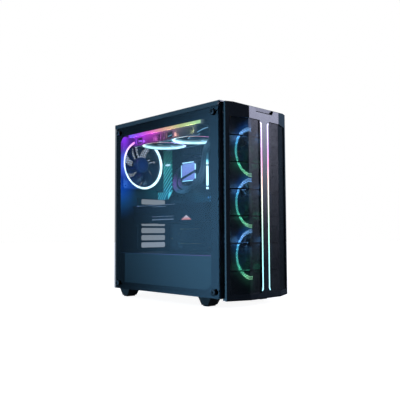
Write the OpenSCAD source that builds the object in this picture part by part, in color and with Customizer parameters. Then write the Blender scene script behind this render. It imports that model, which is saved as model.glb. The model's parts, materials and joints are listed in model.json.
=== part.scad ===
// Mid-tower desktop computer with a glass side, a mesh front and lit fans.
// Frame: +X to the right of someone facing the front, +Y to the rear, +Z up.
// The origin is on the floor, under the middle of the tower. Units are millimetres.

/* [Tower] */
// Width across the glass panel and the steel side panel
tower_w = 228; // [228:1:236]
// Height from the floor to the top cover
tower_h = 460; // [460:1:466]
// Distance from the origin to the front edge of the steel chassis
chassis_front = 180.5; // [180.5:0.5:184]
// Distance from the origin to the outer face of the rear wall
chassis_rear = 208; // [208:0.5:212]
// Height of the feet
foot_h = 20; // [18:1:20]
// Thickness of the chassis sheet
sheet = 1; // [0.8:0.1:1]

/* [Front panel] */
// Distance from the origin to the flat middle facet
front_y = 220; // [218:0.5:224]
// Distance from the origin to the front panel's side edges
front_side_y = 197.5; // [196:0.5:199]
// Half width of the front panel
front_half_w = 108.8; // [106:0.1:108.8]
// Half width of the flat middle facet
facet_half_w = 53.5; // [50:0.5:56]
// Height of the band's lower edge above the floor
band_z = 423; // [418:1:426]
// Distance of each light guide from the middle
light_x = 11.5; // [10:0.5:13]

/* [Fans] */
// Frame size of the front and top fans
fan_size = 120; // [118:1:120]
// Frame size of the rear fan
rear_fan_size = 140; // [136:1:140]
// Depth of every fan
fan_depth = 25; // [25:1:27]
// Number of blades on a rotor
fan_blades = 7; // [5:1:9]

/* [Board and card] */
// Left face of the motherboard's circuit board
board_x = 78; // [77:0.5:78]
// Height of the lowest expansion slot's centre
slot_1_z = 132.9; // [132:0.1:134]
// Length of the graphics card behind its bracket
card_len = 290; // [260:5:300]

/* [Hidden] */
$fn = 64;
eps = 0.01;

half_w = tower_w / 2;
glass_t = 4;
chassis_half_w = half_w - 5;
pan_top = foot_h + sheet;
cover_h = 11;
glass_top = tower_h - cover_h;
top_plate_z = glass_top;
rear_in = chassis_rear - sheet;
front_in = chassis_front - sheet;
window_y = [-152.5, 187];
window_z = [37.5, 426];

slot_pitch = 20.32;
slot_count = 7;
card_slots = [4, 5];
cover_slots = [0, 1, 2, 3, 6];

front_fan_pitch = 120;
front_fan_z = 114.2;
front_fan_y = -front_in + fan_depth;
top_fan_x = -40;
top_fan_y = -32;
radiator_t = 27;
top_fan_z = top_plate_z - radiator_t;
rear_fan_x = -35;
rear_fan_z = 357;
fan_wall = 4;
rotor_gap = 2.4;
ring_w = 4.6;
front_ring_w = 9;

shroud_top = 114;
tray_x = 84;
front_bottom = 16;
front_top = 456.6;
front_wall_t = 2.5;
front_back = chassis_front + 0.5;
facet_slope = (front_y - front_side_y) / (front_half_w - facet_half_w);
facet_cos = cos(atan(facet_slope));
window_bottom = 30;
window_edge = 100;
pillar_half_w = 16.5;
pillar_depth = 26;
rib_first = 79;
rib_pitch = 60.5;

screw_y = [-165, 190];
screw_z = [34, 436];
side_screw_x = 100;
side_screw_z = [70, 400];
power_pos = [-62, -164];
light_pos = [-40, -164];

psu_w = 150;
psu_h = 86;
psu_len = 160;
psu_x = -80;
psu_fan = [-5, 127];
psu_rear = rear_in;
psu_top = pan_top + psu_h;
switch_x = 44;
inlet_x = 8;
plug_z = pan_top + 66;
filter_half_w = 66.5;

lip_h = 12;
ear_h = 24;
ear_half_w = 8;

pump_y = 71;
pump_z = 333;
memory_y = [12.5, 3, -6.5, -16];
card_z = 238;
card_left = -57;
card_front = rear_in - sheet - card_len;
shroud_low = 193;
card_fan_r = 44;
card_fans = [112, 4];

// ---------------------------------------------------------------- helpers

module block(x, y, z) {
    translate([x[0], y[0], z[0]]) cube([x[1] - x[0], y[1] - y[0], z[1] - z[0]]);
}

module round_rect(w, h, r) {
    square([w - 2 * r, h], center = true);
    square([w, h - 2 * r], center = true);
    for (sx = [-1, 1], sy = [-1, 1])
        translate([sx * (w / 2 - r), sy * (h / 2 - r)]) circle(r);
}

module plate(w, h) {
    square([w, h], center = true);
}

// Extrudes a shape drawn in X and Z towards +Y, starting at y0
module along_y(y0, len) {
    translate([0, y0 + len, 0]) rotate([90, 0, 0]) linear_extrude(len) children();
}

// Extrudes a shape drawn in Y and Z towards +X, starting at x0
module along_x(x0, len) {
    translate([x0, 0, 0]) rotate([90, 0, 90]) linear_extrude(len) children();
}

module mirror_x() {
    children();
    mirror([1, 0, 0]) children();
}

module rod_x(x0, len, y, z, r) {
    translate([x0, y, z]) rotate([0, 90, 0]) cylinder(r = r, h = len);
}

module rod_y(y0, len, x, z, r) {
    translate([x, y0 + len, z]) rotate([90, 0, 0]) cylinder(r = r, h = len);
}

// Hexagonal perforation inside a circle, drawn flat
module honeycomb(r, pitch, hole) {
    row = pitch * sqrt(3) / 2;
    for (j = [-floor(r / row):floor(r / row)], i = [-floor(r / pitch) - 1:floor(r / pitch) + 1]) {
        x = (i + (j % 2 == 0 ? 0 : 0.5)) * pitch;
        if (norm([x, j * row]) < r - hole / 2)
            translate([x, j * row]) rotate(30) circle(r = hole / sqrt(3), $fn = 6);
    }
}

function slot_z(k) = slot_1_z + k * slot_pitch;

// ---------------------------------------------------------------- sweeps

function unit(v) = v / norm(v);
function spline(a, b, c, d, t) = 0.5 * (2 * b + (c - a) * t + (2 * a - 5 * b + 4 * c - d) * t * t
    + (3 * b - a - 3 * c + d) * t * t * t);
function smooth(p, steps) = [
    for (i = [0:len(p) - 2], s = [0:steps - 1])
        spline(p[max(i - 1, 0)], p[i], p[i + 1], p[min(i + 2, len(p) - 1)], s / steps),
    p[len(p) - 1]
];
function tangent(p, i) = unit(p[min(i + 1, len(p) - 1)] - p[max(i - 1, 0)]);
function carry(n, t) = unit(n - (n * t) * t);
function normals(p, n, i = 0, out = []) = i == len(p) ? out :
    normals(p, carry(n, tangent(p, i)), i + 1, concat(out, [carry(n, tangent(p, i))]));

// A tube swept along a route; its section is w wide, along the given side, and h high
module sweep(route, side, w, h, sides, steps) {
    p = smooth(route, steps);
    n = normals(p, side);
    count = len(p);
    points = [
        for (i = [0:count - 1], k = [0:sides - 1])
            p[i] + cos(360 * k / sides) * w / 2 * n[i]
                + sin(360 * k / sides) * h / 2 * cross(tangent(p, i), n[i])
    ];
    walls = [
        for (i = [0:count - 2], k = [0:sides - 1], half = [0, 1])
            half == 0
                ? [i * sides + k, (i + 1) * sides + k, (i + 1) * sides + (k + 1) % sides]
                : [i * sides + k, (i + 1) * sides + (k + 1) % sides, i * sides + (k + 1) % sides]
    ];
    ends = [
        [for (k = [0:sides - 1]) k],
        [for (k = [sides - 1:-1:0]) (count - 1) * sides + k]
    ];
    polyhedron(points, concat(walls, ends));
}

// ---------------------------------------------------------------- chassis

module base_pan() color("#16181b") {
    difference() {
        union() {
            block([-chassis_half_w, chassis_half_w], [-front_in, rear_in], [foot_h, pan_top]);
            mirror_x() {
                block([chassis_half_w - sheet, chassis_half_w], [-front_in, rear_in],
                      [pan_top, pan_top + lip_h]);
                for (y = screw_y)
                    block([chassis_half_w - sheet, chassis_half_w],
                          [y - ear_half_w, y + ear_half_w], [pan_top, pan_top + ear_h]);
            }
            translate([psu_fan[0], 0, 0]) mirror_x() filter_rail();
        }
        for (y = screw_y) rod_x(-chassis_half_w - 1, 3, y, screw_z[0], 6);
        translate([psu_fan[0], psu_fan[1], foot_h - eps]) cylinder(r = 63, h = sheet + 1);
        for (x = [-30, 0, 30], y = [-165:12:-153])
            translate([x, y, foot_h - eps]) linear_extrude(sheet + 1) round_rect(20, 5, 2.4);
    }
}

// L-shaped rail under the pan that the bottom filter slides in
module filter_rail() {
    block([filter_half_w + 0.4, filter_half_w + 1.4], [50, rear_in - 2], [foot_h - 3.6, foot_h]);
    block([filter_half_w - 3, filter_half_w + 0.4], [50, rear_in - 2],
          [foot_h - 3.6, foot_h - 2.8]);
}

module front_wall() color("#15171a") {
    difference() {
        union() {
            block([-chassis_half_w, chassis_half_w], [-chassis_front, -front_in],
                  [foot_h, top_plate_z]);
            mirror_x()
                block([chassis_half_w - sheet, chassis_half_w], [-front_in, -front_in + 18],
                      [pan_top + ear_h, top_plate_z - ear_h]);
        }
        for (k = [0:2]) {
            z = front_fan_z + k * front_fan_pitch;
            rod_y(-chassis_front - 1, 4, 0, z, ring_r(fan_size));
            for (sx = [-1, 1], sz = [-1, 1])
                rod_y(-chassis_front - 1, 4, sx * fan_hole(fan_size),
                      z + sz * fan_hole(fan_size), 2.3);
        }
        mirror_x() for (z = [60:40:420])
            along_y(-chassis_front - 1, 4) translate([85, z]) round_rect(24, 8, 3.9);
    }
}

module rear_wall() color("#15171a") {
    difference() {
        union() {
            block([-chassis_half_w, chassis_half_w], [rear_in, chassis_rear],
                  [foot_h, top_plate_z]);
            mirror_x()
                block([chassis_half_w - sheet, chassis_half_w], [rear_in - 15, rear_in],
                      [pan_top + ear_h, top_plate_z - ear_h]);
            block([-34, -33], [rear_in, chassis_rear + 11], [slot_z(0) - 11, slot_z(6) + 11]);
        }
        along_y(rear_in - 1, 3) translate([rear_fan_x, rear_fan_z]) honeycomb(64, 8.4, 6.8);
        for (p = rear_fan_screws()) rod_y(rear_in - 1, 4, p[0], p[1], 2.3);
        block([36, 80.5], [rear_in - 1, chassis_rear + 1], [266.3, 425]);
        block([-38, -34], [rear_in - 1, chassis_rear + 1], [slot_z(0) - 9.6, slot_z(6) + 9.6]);
        for (k = [0:slot_count - 1]) {
            along_y(rear_in - 1, 3) translate([21, slot_z(k)]) round_rect(94, 16.6, 5);
            rod_x(-35, 3, chassis_rear + 5.5, slot_z(k) + 5.5, 1.85);
        }
        along_y(rear_in - 1, 3) translate([psu_x + psu_w / 2, pan_top + psu_h / 2])
            round_rect(psu_w - 4, psu_h - 4, 3);
        for (p = psu_screws()) rod_y(rear_in - 1, 3, p[0], p[1], 1.9);
        for (z = side_screw_z) rod_y(rear_in - 1, 3, side_screw_x, z, 2.1);
        for (z = [300:12:432])
            along_y(rear_in - 1, 3) translate([94, z]) round_rect(14, 5, 2.4);
    }
    // Corners kept round the power supply's screws
    for (p = psu_screws())
        difference() {
            rod_y(rear_in, sheet, p[0], p[1], 5);
            rod_y(rear_in - 1, 3, p[0], p[1], 1.9);
        }
}

function rear_fan_screws() = [
    for (sx = [-1, 1], sz = [-1, 1])
        [rear_fan_x + sx * fan_hole(rear_fan_size), rear_fan_z + sz * fan_hole(rear_fan_size)]
];
function psu_screws() = [
    [psu_x + 6, pan_top + 16], [psu_x + 6, pan_top + 80],
    [psu_x + 144, pan_top + 80], [psu_x + 144, pan_top + 6]
];

module top_frame() color("#15171a") {
    difference() {
        union() {
            block([-chassis_half_w, chassis_half_w], [-chassis_front, chassis_rear],
                  [top_plate_z, top_plate_z + sheet]);
            mirror_x() {
                block([chassis_half_w - sheet, chassis_half_w], [-front_in, rear_in],
                      [top_plate_z - lip_h, top_plate_z]);
                for (y = screw_y)
                    block([chassis_half_w - sheet, chassis_half_w],
                          [y - ear_half_w, y + ear_half_w], [top_plate_z - ear_h, top_plate_z]);
            }
        }
        for (y = screw_y) rod_x(-chassis_half_w - 1, 3, y, screw_z[1], 6);
        for (k = [0, 1])
            translate([top_fan_x, top_fan_y + k * fan_size, top_plate_z - 1])
                cylinder(r = 57, h = 3);
        for (y = [-70:20:150])
            translate([62, y, top_plate_z - 1]) linear_extrude(3) round_rect(60, 8, 3.9);
        block([-76, 84], [-176, -151], [top_plate_z - 1, top_plate_z + 2]);
    }
}

module motherboard_tray() color("#121417") {
    difference() {
        block([tray_x, tray_x + sheet], [-150, 203], [pan_top, top_plate_z]);
        along_x(tray_x - 1, 3) translate([pump_y, pump_z]) round_rect(120, 110, 12);
        for (z = [170, 315])
            along_x(tray_x - 1, 3) translate([-56, z]) round_rect(20, 80, 9);
        along_x(tray_x - 1, 3) translate([-56, 70]) round_rect(20, 60, 9);
        for (y = [0, 60, 120])
            along_x(tray_x - 1, 3) translate([y, 433]) round_rect(34, 14, 6);
    }
    // Stand-offs that hold the circuit board off the tray
    for (p = board_holes())
        rod_x(board_x + 1.6, tray_x - board_x - 1.6, p[0], p[1], 3);
}

function board_holes() = [
    for (y = [198, 41, -30], z = [122, 260, 412]) [y, z]
];

module power_shroud() color("#17191c") {
    difference() {
        union() {
            block([-104, tray_x], [-150, rear_in], [shroud_top - sheet, shroud_top]);
            block([-104, -104 + sheet], [-150, 175], [pan_top, shroud_top - sheet]);
        }
        for (x = [-60:20:60])
            for (y = [70:14:154])
                translate([x, y, shroud_top - 2]) linear_extrude(3) round_rect(12, 5, 2.4);
        translate([-20, -100, shroud_top - 2]) linear_extrude(3) round_rect(44, 26, 8);
    }
}

// A foot: outline in X and Z crossed with an outline in Y and Z
module foot(y) {
    intersection() {
        along_y(y - 30, 60)
            polygon([[77.5, 2.5], [108, 2.5], [109.5, foot_h], [74, foot_h]]);
        along_x(70, 45)
            polygon([[y - 10, 2.5], [y + 10, 2.5], [y + 20, foot_h], [y - 20, foot_h]]);
    }
}

module feet() color("#1b1d21") mirror_x() {
    foot(-129.5);
    foot(168.5);
}

module foot_pads() color("#0b0b0c") mirror_x()
    for (y = [-129.5, 168.5])
        translate([92.75, y, 0]) linear_extrude(2.5) round_rect(27, 17, 3);

module panel_bushings() color("#101010")
    for (y = screw_y, z = screw_z)
        difference() {
            rod_x(-chassis_half_w - 0.2, 3.2, y, z, 6);
            rod_x(-chassis_half_w - 1, 5, y, z, 2.3);
        }

module chassis_screws() color("#30343a") {
    for (k = [0:slot_count - 1]) {
        rod_x(-39, 4, chassis_rear + 5.5, slot_z(k) + 5.5, 3.6);
        rod_x(-35, 6, chassis_rear + 5.5, slot_z(k) + 5.5, 1.75);
    }
    for (p = psu_screws()) {
        rod_y(chassis_rear, 2.2, p[0], p[1], 3.6);
        rod_y(rear_in - 4, sheet + 4, p[0], p[1], 1.75);
    }
    for (p = rear_fan_screws()) {
        rod_y(chassis_rear, 2.2, p[0], p[1], 3.8);
        rod_y(rear_in - 8, sheet + 8, p[0], p[1], 2);
    }
}

module slot_bracket(z_low, z_high) {
    block([-34, 84.5], [rear_in - sheet, rear_in], [z_low, z_high]);
    block([-35, -34], [rear_in - sheet, chassis_rear + 10.5], [z_low, z_high]);
}

module slot_covers() color("#1a1c20")
    for (k = cover_slots)
        difference() {
            slot_bracket(slot_z(k) - 9.2, slot_z(k) + 9.2);
            along_y(rear_in - 2, 3) translate([20, slot_z(k)]) round_rect(88, 14.6, 4);
            rod_x(-36, 3, chassis_rear + 5.5, slot_z(k) + 5.5, 2);
        }

module light_bar() color("#d070d0")
    block([-106.5, -101], [-112, 152], [420.5, 428.5]);

// ---------------------------------------------------------------- top

module top_cover() color("#17191c") {
    difference() {
        union() {
            block([-half_w, half_w], [-186, chassis_rear], [tower_h - 3, tower_h]);
            mirror_x()
                block([half_w - 3.5, half_w], [-chassis_front, chassis_rear],
                      [glass_top + 0.3, tower_h - 3]);
            block([-half_w + 3.5, half_w - 3.5], [chassis_rear - 3, chassis_rear],
                  [top_plate_z + sheet, tower_h - 3]);
            block([-half_w + 3.5, half_w - 3.5], [-chassis_front, -chassis_front + 3],
                  [top_plate_z + sheet, tower_h - 3]);
        }
        block([-95, 95], [-140, 195], [tower_h - 2.3, tower_h + 1]);
        for (sx = [-1, 1])
            block([min(sx * 4, sx * 89), max(sx * 4, sx * 89)], [-134, 189],
                  [tower_h - 4, tower_h]);
        translate([power_pos[0], power_pos[1], tower_h - 4]) cylinder(r = 8, h = 5);
        translate([light_pos[0], light_pos[1], tower_h - 4]) cylinder(r = 5, h = 5);
        for (x = [0, 20]) translate([x, -164, tower_h - 4]) linear_extrude(5) plate(13.4, 6);
        translate([38, -164, tower_h - 4]) linear_extrude(5) round_rect(9.6, 3.8, 1.8);
        for (x = [54, 68]) translate([x, -164, tower_h - 4]) cylinder(r = 3.2, h = 5);
    }
}

module top_filter() color("#101113")
    difference() {
        block([-94.6, 94.6], [-139.6, 194.6], [tower_h - 2, tower_h]);
        block([-89, 89], [-134, 189], [tower_h - 0.8, tower_h + 1]);
    }

module bottom_filter() color("#141517") {
    difference() {
        block([psu_fan[0] - filter_half_w, psu_fan[0] + filter_half_w], [48, rear_in],
              [foot_h - 2.5, foot_h - 0.4]);
        block([psu_fan[0] - filter_half_w + 5, psu_fan[0] + filter_half_w - 5],
              [54, rear_in - 8], [foot_h - 3, foot_h - 1.6]);
    }
    block([psu_fan[0] - 20, psu_fan[0] + 20], [rear_in, rear_in + 8], [foot_h - 6, foot_h - 0.4]);
}

module power_button() color("#c8ccd4") {
    translate([power_pos[0], power_pos[1], tower_h - 5]) cylinder(r = 7.6, h = 5);
    translate([power_pos[0], power_pos[1], tower_h - 6]) cylinder(r = 9, h = 2);
}

module light_button() color("#2a2d32") {
    translate([light_pos[0], light_pos[1], tower_h - 5]) cylinder(r = 4.6, h = 5);
    translate([light_pos[0], light_pos[1], tower_h - 6]) cylinder(r = 6, h = 2);
}

// Circuit board and sockets under the top cover's front strip
module port_module() color("#8a9098") {
    block([-72, 78], [-173, -155], [top_plate_z - 1.6, top_plate_z]);
    for (p = [power_pos, light_pos])
        block([p[0] - 3, p[0] + 3], [p[1] - 3, p[1] + 3], [top_plate_z, tower_h - 8]);
    for (x = [0, 20])
        difference() {
            block([x - 6.6, x + 6.6], [-166.9, -161.1], [top_plate_z, tower_h - 0.4]);
            block([x - 6, x + 6], [-166.3, -161.7], [top_plate_z + 1, tower_h]);
        }
    difference() {
        translate([38, -164, top_plate_z]) linear_extrude(cover_h - 0.4) round_rect(9.2, 3.4, 1.6);
        translate([38, -164, top_plate_z + 2]) linear_extrude(cover_h) round_rect(8.4, 2.6, 1.2);
    }
    for (x = [54, 68])
        difference() {
            translate([x, -164, top_plate_z]) cylinder(r = 3, h = cover_h - 0.4);
            translate([x, -164, top_plate_z + 2]) cylinder(r = 1.8, h = cover_h);
        }
}

// ---------------------------------------------------------------- side panels

module glass_outline(inset)
    translate([(chassis_rear - chassis_front) / 2, (glass_top + foot_h) / 2])
        round_rect(chassis_rear + chassis_front - 2 * inset,
                   glass_top - foot_h - 0.6 - 2 * inset, 1.5);

module glass_panel() color("#3a5560", 0.4)
    difference() {
        along_x(-half_w, glass_t) glass_outline(0);
        for (y = screw_y, z = screw_z) rod_x(-half_w - 1, glass_t + 2, y, z, 4);
    }

// Painted frame on the inside of the glass
module glass_border() color("#08090a")
    difference() {
        along_x(-half_w + glass_t, 0.4) glass_outline(0.5);
        along_x(-half_w + glass_t - 1, 3)
            translate([(window_y[0] + window_y[1]) / 2, (window_z[0] + window_z[1]) / 2])
                round_rect(window_y[1] - window_y[0], window_z[1] - window_z[0], 22);
        for (y = screw_y, z = screw_z) rod_x(-half_w, glass_t + 2, y, z, 4);
    }

module glass_screw(y, z) color("#1d2024") {
    rod_x(-half_w - 5, 5, y, z, 7);
    rod_x(-half_w, 9, y, z, 2);
}

module side_panel() color("#17191c") {
    block([half_w - sheet, half_w], [-chassis_front, chassis_rear + 0.3],
          [foot_h + 0.3, glass_top - 0.3]);
    for (z = [foot_h + 0.3, glass_top - 0.3 - sheet])
        block([half_w - 4.6, half_w - sheet], [-chassis_front + 4, rear_in - 4],
              [z, z + sheet]);
    block([half_w - 4.6, half_w - sheet], [-chassis_front, -chassis_front + sheet],
          [foot_h + 0.3, glass_top - 0.3]);
    // Ears that the two rear screws hold
    for (z = side_screw_z)
        difference() {
            block([91, half_w], [chassis_rear + 0.3, chassis_rear + 0.3 + sheet],
                  [z - 12, z + 12]);
            rod_y(chassis_rear, 3, side_screw_x, z, 2.1);
        }
}

module side_panel_screws() color("#25282d")
    for (z = side_screw_z) {
        rod_y(chassis_rear + 0.3 + sheet, 6, side_screw_x, z, 6);
        rod_y(rear_in - 4, sheet + 5.3 + sheet, side_screw_x, z, 1.75);
    }

// ---------------------------------------------------------------- front panel

// Distance forward of the origin of the front surface at x, moved in by an inset
function facet_y(x, inset) = min(front_y - inset,
    front_side_y - inset / facet_cos + facet_slope * (front_half_w - abs(x)));
function corner_x(inset) = front_half_w
    - (front_y - inset - front_side_y + inset / facet_cos) / facet_slope;

// The left half of a layer that follows the front surface, between two insets
module facet_layer(x_out, x_in, a, b)
    polygon([
        [-x_out, -facet_y(x_out, a)], [-corner_x(a), -front_y + a], [-x_in, -front_y + a],
        [-x_in, -front_y + b], [-corner_x(b), -front_y + b], [-x_out, -facet_y(x_out, b)]
    ]);

// Front panel seen from above, with a recessed side behind its front edges
module front_outline()
    polygon([
        for (s = [-1, 1]) each [
            for (p = s < 0 ? [0, 1, 2, 3, 4] : [4, 3, 2, 1, 0])
                [s * [front_half_w - 6, front_half_w - 6, front_half_w, front_half_w,
                      facet_half_w][p],
                 -[front_back, front_side_y - 4, front_side_y - 4, front_side_y, front_y][p]]
        ]
    ]);

module front_hollow()
    polygon([
        for (s = [-1, 1]) each [
            for (p = s < 0 ? [0, 1, 2] : [2, 1, 0])
                [s * [window_edge + 0.3, window_edge + 0.3, corner_x(front_wall_t)][p],
                 -[front_back - 1, facet_y(window_edge + 0.3, front_wall_t),
                   front_y - front_wall_t][p]]
        ]
    ]);

module guide_outline(grow)
    mirror_x() polygon([
        [light_x - 1.8 - grow, 38], [light_x + 1.2, 33.5 - grow],
        [light_x + 4.2 + grow, 33.5 - grow], [light_x + 1.8 + grow, 41],
        [light_x + 1.8 + grow, 413], [light_x + 3.6 + grow, 419 + grow],
        [light_x + 1.2, 419 + grow], [light_x - 1.8 - grow, 415.5]
    ]);

module front_panel() color("#17191d")
    difference() {
        union() {
            difference() {
                translate([0, 0, front_bottom]) linear_extrude(front_top - front_bottom)
                    front_outline();
                translate([0, 0, front_bottom + 3])
                    linear_extrude(front_top - front_bottom - 6) front_hollow();
                // Windows that the mesh fills
                mirror_x()
                    block([pillar_half_w, window_edge], [-front_y - 5, -front_back - 4],
                          [window_bottom, band_z]);
                // Slots in the recessed sides
                mirror_x() for (z = [34:12:430])
                    block([window_edge - 1, front_half_w], [-front_side_y + 7, -front_back - 3],
                          [z, z + 7]);
            }
            // Solid behind the band for the finger notch
            block([-46, 46], [-front_y + 1, -front_y + 11], [band_z + 5, front_top - 3]);
            // Pillar behind the light guides
            block([-pillar_half_w, pillar_half_w], [-front_y + 1, -front_y + pillar_depth],
                  [front_bottom + 3, band_z + 5]);
            // Ribs that hold the mesh
            for (k = [0:5])
                mirror_x()
                    translate([0, 0, rib_first + k * rib_pitch])
                        linear_extrude(3) facet_layer(window_edge + 0.5, pillar_half_w, 4, 9);
        }
        // Chamfer along the top of the middle facet
        along_x(-120, 240) polygon([
            [-front_y - 2, 449], [-front_y, 450], [-front_y + 15, front_top + eps],
            [-front_y + 15, front_top + 5], [-front_y - 2, front_top + 5]
        ]);
        // Finger notch
        along_y(-front_y - 1, 7) polygon([[-29, 440.5], [29, 440.5], [39, 458], [-39, 458]]);
        // Grooves for the light guides
        along_y(-front_y - 1, 6) guide_outline(0.05);
    }

module front_mesh() color("#22262b")
    mirror_x()
        translate([0, 0, window_bottom - 4]) linear_extrude(band_z - window_bottom + 8)
            facet_layer(window_edge + 0.1, pillar_half_w + 0.1, front_wall_t, front_wall_t + 1.2);

module light_guides() color("#d9b8e8")
    along_y(-front_y, 5) guide_outline(0);

// ---------------------------------------------------------------- fans

function is_big(size) = size > 130;
function fan_hole(size) = is_big(size) ? 62.25 : 52.5;
function ring_r(size) = size / 2 - 1.2;

// Frame of a fan that stands on z = 0; its light ring sits at the far face
module fan_frame(size) {
    bore = size / 2 - fan_wall;
    h = fan_hole(size);
    difference() {
        union() {
            for (z = [0, fan_depth - fan_wall])
                translate([0, 0, z]) linear_extrude(fan_wall)
                    round_rect(size - 0.4, size - 0.4, 6);
            cylinder(r = size / 2 - 0.5, h = fan_depth);
            for (sx = [-1, 1], sy = [-1, 1])
                translate([sx * h, sy * h, 0]) cylinder(r = 5, h = fan_depth);
        }
        translate([0, 0, 3.2]) cylinder(r = bore, h = fan_depth);
        translate([0, 0, -1]) difference() {
            cylinder(r = bore, h = 6);
            translate([0, 0, -1]) cylinder(r = 21, h = 8);
            for (a = [0:90:270])
                rotate(a + 20) translate([0, -3, -1]) cube([bore + 1, 6, 8]);
        }
        translate([0, 0, fan_depth - 5]) cylinder(r = ring_r(size) + 0.1, h = 6);
        for (sx = [-1, 1], sy = [-1, 1])
            translate([sx * h, sy * h, -1]) cylinder(r = 2.15, h = fan_depth + 2);
    }
}

module fan_ring(size, width)
    translate([0, 0, fan_depth - 5]) difference() {
        cylinder(r = ring_r(size), h = 5);
        translate([0, 0, -1]) cylinder(r = ring_r(size) - width, h = 7);
    }

// Rotor: a hub and pitched blades trimmed to the bore
module fan_rotor(size) {
    tip = size / 2 - fan_wall - rotor_gap;
    translate([0, 0, 3.8]) cylinder(r = 20, h = 17.2);
    intersection() {
        difference() {
            translate([0, 0, 5]) cylinder(r = tip, h = 14);
            translate([0, 0, 4]) cylinder(r = 19.5, h = 18);
        }
        union()
            for (k = [0:fan_blades - 1])
                rotate(k * 360 / fan_blades) translate([0, 6, 12]) rotate([38, 0, 0])
                    translate([16, -13, -0.8]) cube([size, 26, 1.6]);
    }
}

module at_front_fan(k)
    translate([0, front_fan_y, front_fan_z + k * front_fan_pitch]) rotate([90, 0, 0]) children();

module at_rear_fan()
    translate([rear_fan_x, rear_in, rear_fan_z]) rotate([90, 0, 0]) children();

module at_top_fan(k)
    translate([top_fan_x, top_fan_y + k * fan_size, top_fan_z]) rotate([180, 0, 0]) children();

module fan_frames() color("#131417") {
    for (k = [0:2]) at_front_fan(k) fan_frame(fan_size);
    at_rear_fan() fan_frame(rear_fan_size);
    for (k = [0, 1]) at_top_fan(k) fan_frame(fan_size);
}

module fan_light_rings() color("#bff4ff") {
    for (k = [0:2]) at_front_fan(k) fan_ring(fan_size, front_ring_w);
    at_rear_fan() fan_ring(rear_fan_size, ring_w);
    for (k = [0, 1]) at_top_fan(k) fan_ring(fan_size, ring_w);
}

module front_rotor(k) color("#1d3348") at_front_fan(k) fan_rotor(fan_size);
module rear_rotor() color("#1d3348") at_rear_fan() fan_rotor(rear_fan_size);
module top_rotor(k) color("#1d3348") at_top_fan(k) fan_rotor(fan_size);

// ---------------------------------------------------------------- cooler

module radiator() color("#121316") {
    x = [top_fan_x - 60, top_fan_x + 60];
    y = [top_fan_y - 78, top_fan_y + 198];
    z = [top_fan_z, top_fan_z + radiator_t];
    for (e = [[y[0], y[0] + 17], [y[1] - 17, y[1]]]) block(x, e, z);
    for (e = [[x[0], x[0] + 2], [x[1] - 2, x[1]]]) block(e, [y[0] + 17, y[1] - 17], z);
    // Flat water channels with the fin blocks between them
    for (k = [0:12])
        block([x[0] + 2 + k * 9.4, x[0] + 5.2 + k * 9.4], [y[0] + 17, y[1] - 17],
              [z[0] + 4, z[1] - 4]);
    for (k = [-1, 1])
        translate([top_fan_x + k * 18, y[0] + 7, z[0] - 6]) cylinder(r = 6.5, h = 6);
}

// Routes of the two coolant tubes, from the pump to the radiator's front ports
tube_routes = [
    [[46, 107, 346], [45, 116, 345], [41, 126, 336], [36, 130, 318], [32, 128, 300],
     [30, 117, 286], [29, 98, 279], [28, 75, 281], [27, 52, 290], [26, 32, 305],
     [25, 16, 324], [21, 3, 347], [14, -8, 368], [-6, -32, 381], [-30, -66, 385],
     [-48, -90, 388], [-56, -102, 392], [-58, -104, 400], [-58, -103, 408], [-58, -103, 415.6]],
    [[46, 107, 322], [45, 114, 321], [44, 119, 314], [43, 118, 303], [42, 109, 295],
     [43, 92, 291], [43, 72, 291], [42, 52, 294], [40, 31, 303], [38, 22, 319],
     [35, 17, 337], [31, 13, 354], [25, 4, 369], [19, -14, 382], [8, -44, 388],
     [-6, -74, 389], [-17, -94, 390], [-22, -103, 396], [-22, -104, 404], [-22, -103, 410],
     [-22, -103, 415.6]]
];

module coolant_tubes() color("#17181b")
    for (route = tube_routes) sweep(route, [0.3, 1, 0.2], 11.5, 11.5, 10, 2);

module pump_head() color("#191b1f") {
    along_x(34, 36) translate([pump_y, pump_z]) round_rect(64, 60, 8);
    along_x(70, 2) translate([pump_y, pump_z]) plate(46, 46);
    for (z = [346, 322])
        rod_y(pump_y + 32, 3.2, 46, z, 6.5);
}

module pump_cap() color("#c9c4ee")
    along_x(31, 3) translate([pump_y, pump_z]) round_rect(58, 54, 7);

// ---------------------------------------------------------------- motherboard

module motherboard() color("#0e1512")
    difference() {
        block([board_x, board_x + 1.6], [-39, 205], [115.6, 420.4]);
        for (p = board_holes()) rod_x(board_x - 1, 4, p[0], p[1], 1.6);
    }

card_slot_z = [card_z, slot_z(2) + 3.5, slot_z(0) + 3.5];

module board_sockets() color("#1a1c1f") {
    // Processor socket
    block([74, board_x], [pump_y - 27, pump_y + 27], [pump_z - 27, pump_z + 27]);
    for (y = memory_y) block([72, board_x], [y - 3.2, y + 3.2], [276, 417]);
    for (z = card_slot_z) block([67, board_x], [56, 146], [z - 3.7, z + 3.7]);
    block([67, board_x], [120, 146], [slot_z(3), slot_z(3) + 7.4]);
    block([64, board_x], [-38, -29.5], [290, 342]);
    block([64, board_x], [150, 168], [414.2, 420]);
    for (z = [126:12:160]) block([66, board_x], [-38, -24], [z, z + 8]);
}

module board_heatsinks() color("#2b2f36") {
    // Finned block over the power stages above the processor
    difference() {
        block([50, board_x], [40, 112], [383, 408]);
        for (y = [46:7:104]) block([49, 66], [y, y + 3], [382, 409]);
    }
    // Solid-state drive cover and chipset plate
    block([72, board_x], [38, 122], [152, 166]);
    along_x(70, board_x - 70) translate([9, 176]) round_rect(58, 60, 6);
}

// Hollow cover over the rear sockets: a roof and one leg
module io_cover() color("#20666a")
    difference() {
        translate([0, 0, 262]) linear_extrude(150) polygon([
            [36, 176], [42, 152], [board_x, 152], [board_x, 155], [45, 155], [39.5, 178],
            [39.5, 181.5], [36, 181.5]
        ]);
        along_x(30, 60) polygon([[150, 261], [172, 261], [150, 283]]);
    }

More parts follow.
